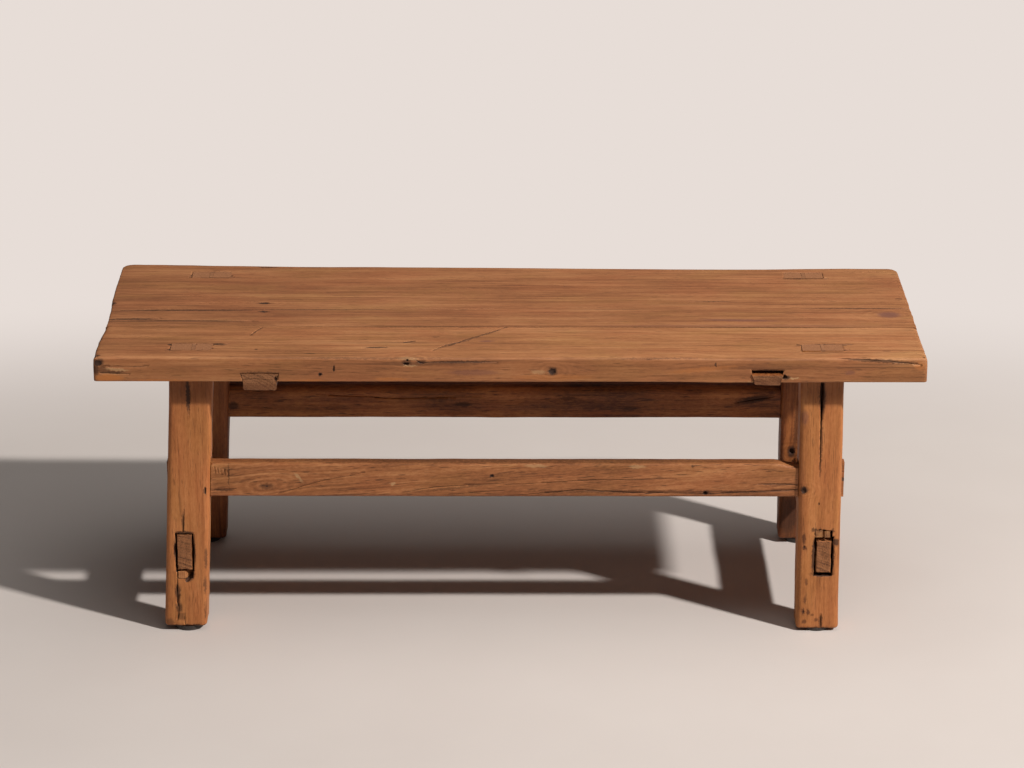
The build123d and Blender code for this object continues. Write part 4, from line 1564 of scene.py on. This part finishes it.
def make_batten(side, at_front, at_rear, seed):
    """A batten from its widths at the front and at the rear, in mm."""
    low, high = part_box(f"batten_{side}")
    x = (low.x + high.x) / 2
    wide = max(at_front, at_rear) / 2 * MM
    piece = add_block(f"{side}_batten", (x - wide, low.y, low.z), (x + wide, high.y, high.z))
    with edit_mode(piece):
        slice_at(Z, BOARD_BOTTOM)
        for edge, width in ((low.y, at_front), (high.y, at_rear)):
            neck = (width / 2 - FLARE) * MM / wide
            top = width / 2 * MM / wide
            select("VERT", lambda c: meets(c.co.y, edge) and c.co.z < high.z - HAIR)
            bpy.ops.transform.resize(value=(neck, 1, 1), center_override=(x, edge, low.z))
            select("VERT", lambda c: meets(c.co.y, edge) and c.co.z > high.z - HAIR)
            bpy.ops.transform.resize(value=(top, 1, 1), center_override=(x, edge, high.z))
    round_edges(piece, 3.5, 3, lambda e: runs_along(e, Y) and middle_of(e).z < low.z + HAIR)
    slice_up(piece, (Y, 5), (X, 4), (Z, 4))
    weather(piece, 0.7 * MM, (0.02, 0.12, 0.02), seed)
    ends = lambda place: 1.0 if min(place.y - low.y, high.y - place.y) < 2 * MM else 0.0
    weather(piece, 2.2 * MM, (0.012, 0.012, 0.007), seed + 1, ends)
    return piece


left_batten = make_batten("left", 56, 46, 47)
low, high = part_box("batten_left")
tools = [pit((-338, low.y / MM, 406), UPWARDS, FORWARDS, (4, 2, 3), 171)]
path = [(0, 0, 0.5), (20, 2, 0.9), (48, 0, 0.4)]
tools.append(blade((-388, low.y / MM, 404), ALONG, FORWARDS, path, 4, 172))
carve(left_batten, tools)

right_batten = make_batten("right", 46, 56, 53)
low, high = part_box("batten_right")
press(
    right_batten,
    (0, 0, -2.2 * MM),
    0.012,
    lambda c: c.co.y < low.y + 4 * MM and c.co.z > high.z - 3 * MM,
)
path = [(0, 0, 0.4), (20, 1, 0.8), (36, 0, 0.4)]
carve(right_batten, [blade((348, low.y / MM, 408), ALONG, FORWARDS, path, 4, 173)])

# %% [markdown]
# ## The wedges in the front legs
#
# The end stretchers are locked by wedges beside their tenons. In the right leg two stumps of
# wedge stand side by side above the tenon. In the left leg one small wedge stands below it, and
# the wood beside it has chipped away.


# %% The wedge stumps
def make_wedge(name, low, high, tip, seed):
    """A short wedge from its front end's corners, in mm. It gets thinner to the rear."""
    piece = add_block(name, Vector(low) * MM, Vector(high) * MM)
    middle_z = (low[2] + high[2]) / 2 * MM
    with edit_mode(piece):
        select("VERT", lambda c: c.co.y > high[1] * MM - HAIR)
        bpy.ops.transform.resize(value=(0.95, 1, tip), center_override=(0, 0, middle_z))
    at_front = lambda e: not runs_along(e, Y) and middle_of(e).y < low[1] * MM + HAIR
    round_edges(piece, 0.8, 2, at_front)
    slice_up(piece, (X, 1.5), (Y, 3), (Z, 1.5))
    weather(piece, 0.7 * MM, (0.005, 0.02, 0.005), seed)
    return piece


low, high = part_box("key_wedge_front_right")
front, rear = low.y / MM, high.y / MM
ends = (449.4, front + 0.5, 149.6), (460.6, rear, 161)
stump = make_wedge("right_wedge_stump", *ends, 0.5, 61)
ends = (463.2, front + 0.2, 149.4), (471.6, rear - 6, 160)
other = make_wedge("other_stump", *ends, 0.5, 67)
pick_alone(stump)
other.select_set(True)
bpy.ops.object.join()

low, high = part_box("key_wedge_front_left")
ends = (-490.4, low.y / MM + 0.6, 84), (-479, high.y / MM, 95.4)
left_stump = make_wedge("left_wedge_stump", *ends, 0.5, 71)
print("wedge stumps:", len(stump.data.polygons), len(left_stump.data.polygons), "faces")

# %% [markdown]
# ## Finishes
#
# Every piece was cut from its own bit of tree, so each has its own seed. The grain of a board or
# a long stretcher runs along the table, that of an end stretcher or a batten across it, and that
# of a leg up. The marks of use are listed with the piece that carries them.


# %% Ways to lay a mark
STAIN = (112, 70, 62)
PALE = (196, 158, 112)
ORANGE = (184, 112, 56)
# This colour paints the shade under the top on the legs, and also dirt on the front right leg and a
# darkening below the batten ends.
SHADE_AND_GRIME = (84, 44, 24)
SHADE = (88, 52, 30)


def on_top(x, y, length, width, strength=0.8, turn=0):
    return (x, y, BOARD_TOP / MM), (length / 2, width / 2, 5), strength, turn, Z


def on_front(x, down, length, height, strength=0.8, turn=0):
    place = (x, FRONT_LOW.y / MM, BOARD_TOP / MM - down)
    return place, (length / 2, 7, height / 2), strength, turn, Y


def on_leg(corner):
    """A way to lay marks on the front face of a leg."""

    def lay(x, z, width, height, strength=0.8, turn=0):
        return leg_face(corner, x, z), (width / 2, 7, height / 2), strength, turn, Y

    return lay


def on_rail(x, z, length, height, strength=0.7, turn=0):
    return (x, LONG_LOW.y / MM, z), (length / 2, 7, height / 2), strength, turn, Y


def laid(lay, *marks):
    """Lays several marks in the same way."""
    return [lay(*mark) for mark in marks]


# %% [markdown]
# The front board shows the most use. Dirt has gathered in its cracks, round its mortises and at
# its chewed left end. Its front edge is orange where a finish has stayed near the lower arris,
# and pale where it has been rubbed bare.

# %% The front board's finish
front_dirt = laid(
    on_top,
    (-596, -206, 14, 12, 0.8), (100, -81.5, 1000, 3, 0.45), (300, -81.5, 520, 4, 0.5),
    (-57, -131, 150, 4, 0.7, 44), (-372, -101, 38, 3.5, 0.5, 66), (-459, -158, 84, 5, 0.7),
    (-424, -157, 22, 9, 0.8), (-493, -160, 10, 8, 0.8), (-490, -182, 16, 7, 0.8),
    (-468, -182, 12, 5, 0.7), (455, -157, 92, 6, 0.6), (452, -157, 36, 9, 0.7),
    (474, -180, 22, 8, 0.8), (440, -180, 40, 4, 0.6), (-85, -158, 26, 7, 0.6, 50),
    (-196, -173, 36, 6, 0.8, 6), (-148, -147, 20, 5, 0.7, 18), (-109, -125, 16, 4, 0.6),
    (-289, -199, 18, 4, 0.7), (-368, -181, 6, 5, 0.7), (417, -157, 7, 5, 0.8),
    (543, -185, 14, 4, 0.6),
)
front_dirt += laid(
    on_front,
    (-592, 8, 18, 14, 0.75), (-596, 18, 11, 22, 0.7), (-586, 16, 10, 8, 0.5),
    (-588, 20, 30, 9, 0.5), (-572, 23, 44, 4, 0.7), (-149, 8, 15, 10, 0.6),
    (-129, 7, 18, 6, 0.65), (-70, 7, 104, 4, 0.6), (60, 21, 17, 15, 0.8), (-274, 26, 7, 7, 0.9),
    (-254, 17, 4, 12, 0.8), (295, 12, 4, 9, 0.8), (370, 22, 46, 9, 0.7), (396, 31, 16, 8, 0.8),
    (530, 5, 130, 6, 0.6, 3), (-361, 24, 60, 4, 0.5), (-200, 2, 300, 3, 0.35),
    (230, 2, 230, 3, 0.4),
)
front_stains = [
    on_top(-35, -144, 24, 9, 0.6),
    on_front(-54, 23, 84, 10, 0.45),
    on_front(488, 23, 16, 8, 0.5),
]
front_orange = laid(
    on_front,
    (-578, 32, 50, 12, 0.8), (-500, 36, 110, 5, 0.5), (-295, 36, 80, 5, 0.55),
    (-172, 33, 56, 6, 0.5), (62, 30, 130, 10, 0.35), (282, 18, 120, 9, 0.4, -5),
    (588, 12, 18, 16, 0.5),
)
front_pale = laid(
    on_front,
    (-566, 19, 40, 5, 0.5, 4), (-147, 2, 34, 6, 0.4), (-145, 13, 28, 3, 0.4),
    (40, 22, 24, 7, 0.4), (360, 38, 70, 3, 0.4), (408, 32, 20, 3, 0.6),
)
front_marks = [(ORANGE, front_orange), (STAIN, front_stains)]
front_marks += [(PALE, front_pale), (DIRT, front_dirt)]
front_knots = [((60, -216, 418), (26, 25, 14), 0.5), ((-140, -216, 434), (34, 25, 12), 0.4)]
front_finish = old_elm(
    "front_board_elm",
    X,
    (FRONT_LOW + FRONT_HIGH) / 2,
    1,
    FRONT_TONES,
    front_marks,
    front_knots,
    TOP_END_TONES,
    # painted light: the upper face is painted lighter towards the right
    brighter=0.22,
    bleached=True,
)
dress(front_board, "top_front_board", front_finish)
print("front board marks:", sum(len(group) for _, group in front_marks))

# %% [markdown]
# The rear board's dirt follows its long cracks and the seam. A dark stain lies round the knot
# near its right end, where the bands curl.

# %% The rear board's finish
rear_dirt = laid(
    on_top,
    (100, -80.5, 1000, 3, 0.45), (300, -80.5, 520, 4, 0.5), (-490, -7, 190, 4, 0.7),
    (-300, -3, 240, 3, 0.45), (-490, -53, 180, 4, 0.55), (-459, 155, 68, 5, 0.7),
    (-429, 157, 9, 9, 0.8), (-488, 158, 8, 8, 0.7), (-459, 177, 62, 4, 0.3),
    (-436, 149, 160, 5, 0.35, -3), (-374, 199, 36, 5, 0.7), (-265, 204, 124, 5, 0.6),
    (-369, 27, 22, 9, 0.9), (-367, -13, 22, 7, 0.8), (-480, -5, 200, 6, 0.6),
    (-300, -3, 180, 5, 0.5), (-557, -47, 84, 9, 0.7), (-596, 25, 12, 14, 0.8),
    (436, 147, 34, 6, 0.9), (470, 147, 24, 4, 0.7), (454, 169, 70, 4, 0.4),
    (466, -103, 13, 4, 0.7), (520, 6, 160, 6, 0.6), (302, 37, 62, 4, 0.6, 2),
    (587, 51, 14, 6, 0.5), (8, 115, 60, 3, 0.4),
)
rear_stains = [
    on_top(339, -49, 136, 12, 0.6, -3),
    on_top(564, -23, 40, 32, 0.75),
    on_top(340, -74, 500, 12, 0.25),
]
rear_marks = [(DIRT, rear_dirt), (STAIN, rear_stains)]
rear_knots = [((564, -23, 439), (52, 30, 30), 0.6), ((-369, 27, 439), (30, 12, 20), 0.4)]
rear_finish = old_elm(
    "rear_board_elm",
    X,
    (REAR_LOW + REAR_HIGH) / 2,
    2,
    REAR_TONES,
    rear_marks,
    rear_knots,
    TOP_END_TONES,
    # painted light: the upper face is painted lighter towards the right
    brighter=0.11,
    bleached=True,
)
dress(rear_board, "top_rear_board", rear_finish)
print("rear board marks:", sum(len(group) for _, group in rear_marks))

# %% [markdown]
# The front legs get painted shade at their tops, a dark band where the top shades them. The legs
# are black in their cracks and round the mouths of their mortises, and dirty at the foot. The rear
# ones get the shaded tones, which are painted shade for the shade they stand in under the top, and
# the rear right one a painted shade on the upper part of its front face.

# %% The legs' finishes
# Painted shade: a dark band across the top of the leg, where the top shades it.
left_painted_shade = laid(on_leg("front_left"), (-466, 396, 200, 84, 0.5))
left_dirt = laid(
    on_leg("front_left"),
    (-479, 157, 30, 6, 0.8), (-493, 129, 5, 46, 0.6), (-465, 127, 5, 46, 0.6),
    (-479, 97, 30, 5, 0.7), (-473, 88, 15, 22, 0.85, 25), (-491, 62, 10, 34, 0.75),
    (-490, 38, 12, 16, 0.7), (-487, 24, 14, 14, 0.5), (-450, 32, 7, 34, 0.55),
    (-467.5, 372, 7, 66, 0.9), (-499, 352, 5, 70, 0.4), (-480, 175, 5, 36, 0.6),
    (-448, 115, 6, 44, 0.6), (-450, 72, 6, 36, 0.6), (-447, 223, 5, 16, 0.6),
    (-475, 8, 76, 6, 0.75), (-503, 14, 14, 14, 0.5),
)
# Painted shade at the top of the leg, where the top shades it; the rest darken its left side and its
# foot.
right_shade_and_grime = laid(
    on_leg("front_right"),
    (452, 396, 200, 84, 0.5), (432.5, 148, 7, 22, 0.8), (434, 133, 7, 8, 0.8),
    (438, 79, 5, 14, 0.6), (437, 50, 5, 14, 0.6), (434.5, 32, 6, 14, 0.8),
    (442, 31, 7, 12, 0.8), (448, 27, 6, 6, 0.6), (436.5, 16, 8, 8, 0.7), (454.5, 19, 8, 8, 0.7),
    (428, 84, 5, 150, 0.35),
)
right_dirt = laid(
    on_leg("front_right"),
    (453, 368, 12, 60, 0.8), (453, 293, 5, 110, 0.6), (430, 224, 15, 14, 0.8),
    (460, 151, 30, 6, 0.8), (447.5, 120, 7, 66, 0.85), (475, 118, 7, 62, 0.8),
    (480, 142, 11, 15, 0.85, -30), (460, 92, 38, 9, 0.85), (446, 162, 7, 7, 0.7),
    (474, 160, 6, 9, 0.7), (461, 17, 6, 26, 0.6), (453, 4.5, 76, 6, 0.75),
    (457, 150, 20, 5, 0.8), (462.5, 156, 4, 14, 0.8), (450, 160, 5, 12, 0.8),
)
right_stains = laid(on_leg("front_right"), (427, 337, 16, 26, 0.5))
# Painted shade on the upper part of the rear right leg, under the top.
rear_painted_shade = [((446, 139, 330), (60, 9, 95), 0.4, 0, Y)]
dark_streaks = [
    ((438, 139, 46), (20, 9, 48), 0.7, 0, Y),
    ((441, 137, 157), (8, 9, 12), 0.9, 0, Y),
    ((448, 136, 207), (5, 9, 60), 0.5, 3, Y),
]
LEG_MARKS = {
    "front_left": [(SHADE_AND_GRIME, left_painted_shade), (DIRT, left_dirt)],
    "front_right": [(SHADE_AND_GRIME, right_shade_and_grime), (DIRT, right_dirt), (STAIN, right_stains)],
    "rear_right": [(SHADE_AND_GRIME, rear_painted_shade), (DIRT, dark_streaks)],
}
LEG_KNOTS = {
    "front_right": [((430, -192, 224), (12, 14, 24), 0.3)],
    "rear_right": [((441, 137, 157), (18, 14, 34), 0.7)],
}
LEGS = (leg_front_left, leg_front_right, leg_rear_left, leg_rear_right)
for seed, (corner, piece) in enumerate(zip(CORNERS, LEGS), 3):
    finish = old_elm(
        f"leg_elm_{corner}",
        Z,
        leg_middle(corner, 0.2),
        seed,
        # the rear legs get the shaded tones: painted shade
        LEG_TONES if corner.startswith("front") else SHADED_TONES,
        LEG_MARKS.get(corner, []),
        LEG_KNOTS.get(corner, []),
        TOP_END_TONES,
        figure=0.2,
        contrast=0.85,
        grit=0.8,
        ringed=0.15,
    )
    dress(piece, f"leg_{corner}", finish)
    marks = sum(len(group) for _, group in LEG_MARKS.get(corner, []))
    print(f"{piece.name}: {marks} marks")

# %% [markdown]
# The front stretcher lies half in the shade of the top, so its upper arris is dark. Its grain
# climbs, and curls round a knot near the left end. The rear stretcher and the battens get the
# shaded tones, which are painted shade for the shade under the top. The ends of the battens were
# never waxed, and are painted darker towards the bottom.

# %% The stretchers' and battens' finishes
rail_dirt = laid(
    on_rail,
    (-357, 227, 26, 12, 0.5), (-420, 221, 36, 4, 0.6), (-412, 244, 3, 46, 0.5),
    (-27, 244, 8, 7, 0.8), (286, 217, 10, 8, 0.9), (210, 219, 440, 5, 0.5),
    (390, 231, 60, 4, 0.5), (267, 259, 5, 5, 0.7), (-86, 224, 150, 4, 0.4, -6),
)
rail_pale = laid(
    on_rail,
    (-310, 241, 22, 5, 0.5, 50), (-172, 231, 9, 6, 0.6), (38, 259, 40, 6, 0.4),
    (186, 258, 28, 6, 0.4),
)
rear_rail_dirt = [
    ((380, 144, 241), (34, 8, 7), 0.8, -12, Y),
    ((-72, 144, 233), (16, 8, 5), 0.7, 0, Y),
    ((-429, 144, 230), (10, 8, 8), 0.8, 0, Y),
    ((187, 144, 226), (14, 8, 4), 0.6, 0, Y),
    ((91, 144, 243), (16, 8, 4), 0.6, 0, Y),
]
shaded_arris = [((-8, -168, 266), (520, 22, 6), 0.75, 0, X)]
RAIL_MARKS = {
    "long_stretcher_front": [(SHADE, shaded_arris), (DIRT, rail_dirt), (PALE, rail_pale)],
    "long_stretcher_rear": [(DIRT, rear_rail_dirt)],
}
RAIL_KNOTS = {"long_stretcher_front": [((-357, -184, 228), (44, 20, 18), 0.7)]}
RAILS = (
    (front_rail, "long_stretcher_front", X, RAIL_TONES),
    # the rear stretcher gets the shaded tones: painted shade
    (rear_rail, "long_stretcher_rear", X, SHADED_TONES),
    (left_rail, "end_stretcher_left", Y, RAIL_TONES),
    (right_rail, "end_stretcher_right", Y, RAIL_TONES),
)
for seed, (piece, node, grain, tones) in enumerate(RAILS, 11):
    finish = old_elm(
        f"{node}_elm",
        grain,
        box_middle(node),
        seed,
        tones,
        RAIL_MARKS.get(node, []),
        RAIL_KNOTS.get(node, []),
        patch=1.6 if tones is SHADED_TONES else 0.8,
        swirl=0.2,
        slope=4.0 if node == "long_stretcher_front" else 0.0,
        grit=1.0,
        flecked=0.8,
    )
    dress(piece, node, finish)

for piece, side, seed in ((left_batten, "left", 15), (right_batten, "right", 16)):
    low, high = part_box(f"batten_{side}")
    middle = (low + high) / 2
    # The front end of each batten is painted darker towards the bottom.
    end_darkening = [((middle.x / MM, low.y / MM, low.z / MM), (90, 20, 14), 0.5, 0, X)]
    name, marks = f"batten_elm_{side}", [(SHADE_AND_GRIME, end_darkening)]
    # the battens get the shaded tones: painted shade
    finish = old_elm(name, Y, middle, seed, SHADED_TONES, marks, end_tones=DRY_END_TONES)
    dress(piece, f"batten_{side}", finish)
print("stretchers and battens:", len(RAILS) + 2, "finished")

# %% [markdown]
# ## The small pieces
#
# The wedges, pins and pads are small, and mostly sunk in other pieces. Most of them keep the
# joiner's shapes, and get a finish of their own.


# %% Small pieces
def dull_wood(name, tones, grain, seed):
    """A dry wood for wedges and pins: streaks along its grain."""
    recipe = Recipe(name)
    place = recipe.vector("ADD", recipe.place(), (seed, 0, 0))
    repeats = [700.0, 700.0, 700.0]
    repeats[grain] = 30.0
    streaks = recipe.noise(place, repeats, 4.0, 0.6)
    patches = recipe.noise(place, (90.0, 90.0, 90.0), 2.0)
    tone = recipe.math("MULTIPLY_ADD", patches, 0.6, recipe.math("MULTIPLY", streaks, 0.6))
    colour = recipe.ramp(recipe.remap(tone, 0.4, 0.8), tones)
    recipe.coat(colour, recipe.remap(streaks, 0.3, 0.7, 0.8, 0.6), streaks, 0.5, 0.3)
    return recipe.material


def pad_rubber():
    """Dark rubber, scuffed grey in spots and dusty near the floor."""
    recipe = Recipe("pad_rubber")
    place = recipe.place()
    scuffs = recipe.noise(place, (420.0, 420.0, 420.0), 4.0, 0.65)
    colour = recipe.ramp(scuffs, ((0.35, (44, 38, 36)), (0.62, (62, 54, 50)), (0.75, (104, 92, 84))))
    height = recipe.add("SeparateXYZ", {0: place}, out=2)
    dust = recipe.remap(height, 2.5 * MM, 0.0, 0.0, 0.5)
    colour = recipe.mix(dust, colour, paint(104, 92, 84))
    recipe.coat(colour, recipe.remap(scuffs, 0.3, 0.7, 0.7, 0.5), scuffs, 0.4, 0.3)
    return recipe.material


WEDGE_TONES = ((0.0, (66, 42, 28)), (0.5, (104, 68, 44)), (1.0, (136, 94, 60)))
DARK_TONES = ((0.0, (58, 40, 30)), (0.5, (96, 68, 48)), (1.0, (126, 92, 66)))
BAMBOO_TONES = ((0.0, (140, 112, 70)), (0.5, (172, 142, 92)), (1.0, (192, 164, 112)))
STUMP_TONES = ((0.0, (84, 50, 28)), (0.5, (140, 90, 50)), (1.0, (176, 122, 70)))
PALE_STUMP_TONES = ((0.0, (124, 74, 40)), (0.5, (166, 106, 60)), (1.0, (188, 126, 76)))
TENON_TONES = ((0.0, (134, 88, 57)), (0.5, (152, 101, 66)), (1.0, (162, 110, 74)))


def finish_cad(node, finish):
    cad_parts[node].material_slots[0].material = finish


rubber = pad_rubber()
leg_wedge_wood = dull_wood("leg_wedge_wood", TENON_TONES, X, 1)
long_wedge_wood = dull_wood("long_wedge_wood", DARK_TONES, Y, 2)
key_wedge_wood = dull_wood("key_wedge_wood", WEDGE_TONES, X, 3)
stump_wood = dull_wood("stump_wood", STUMP_TONES, Z, 4)
pale_stump_wood = dull_wood("pale_stump_wood", PALE_STUMP_TONES, Z, 6)
finish_cad("seam_pins", dull_wood("bamboo", BAMBOO_TONES, Y, 5))
for corner in CORNERS:
    finish_cad(f"foot_pad_{corner}", rubber)
    finish_cad(f"leg_wedge_{corner}", leg_wedge_wood)
    finish_cad(f"long_wedge_{corner}", long_wedge_wood)
for side in ("left", "right"):
    finish_cad(f"key_wedge_rear_{side}", key_wedge_wood)
dress(stump, "key_wedge_front_right", stump_wood)
dress(left_stump, "key_wedge_front_left", pale_stump_wood)
print("small pieces:", 3 * len(CORNERS) + 5, "finished")
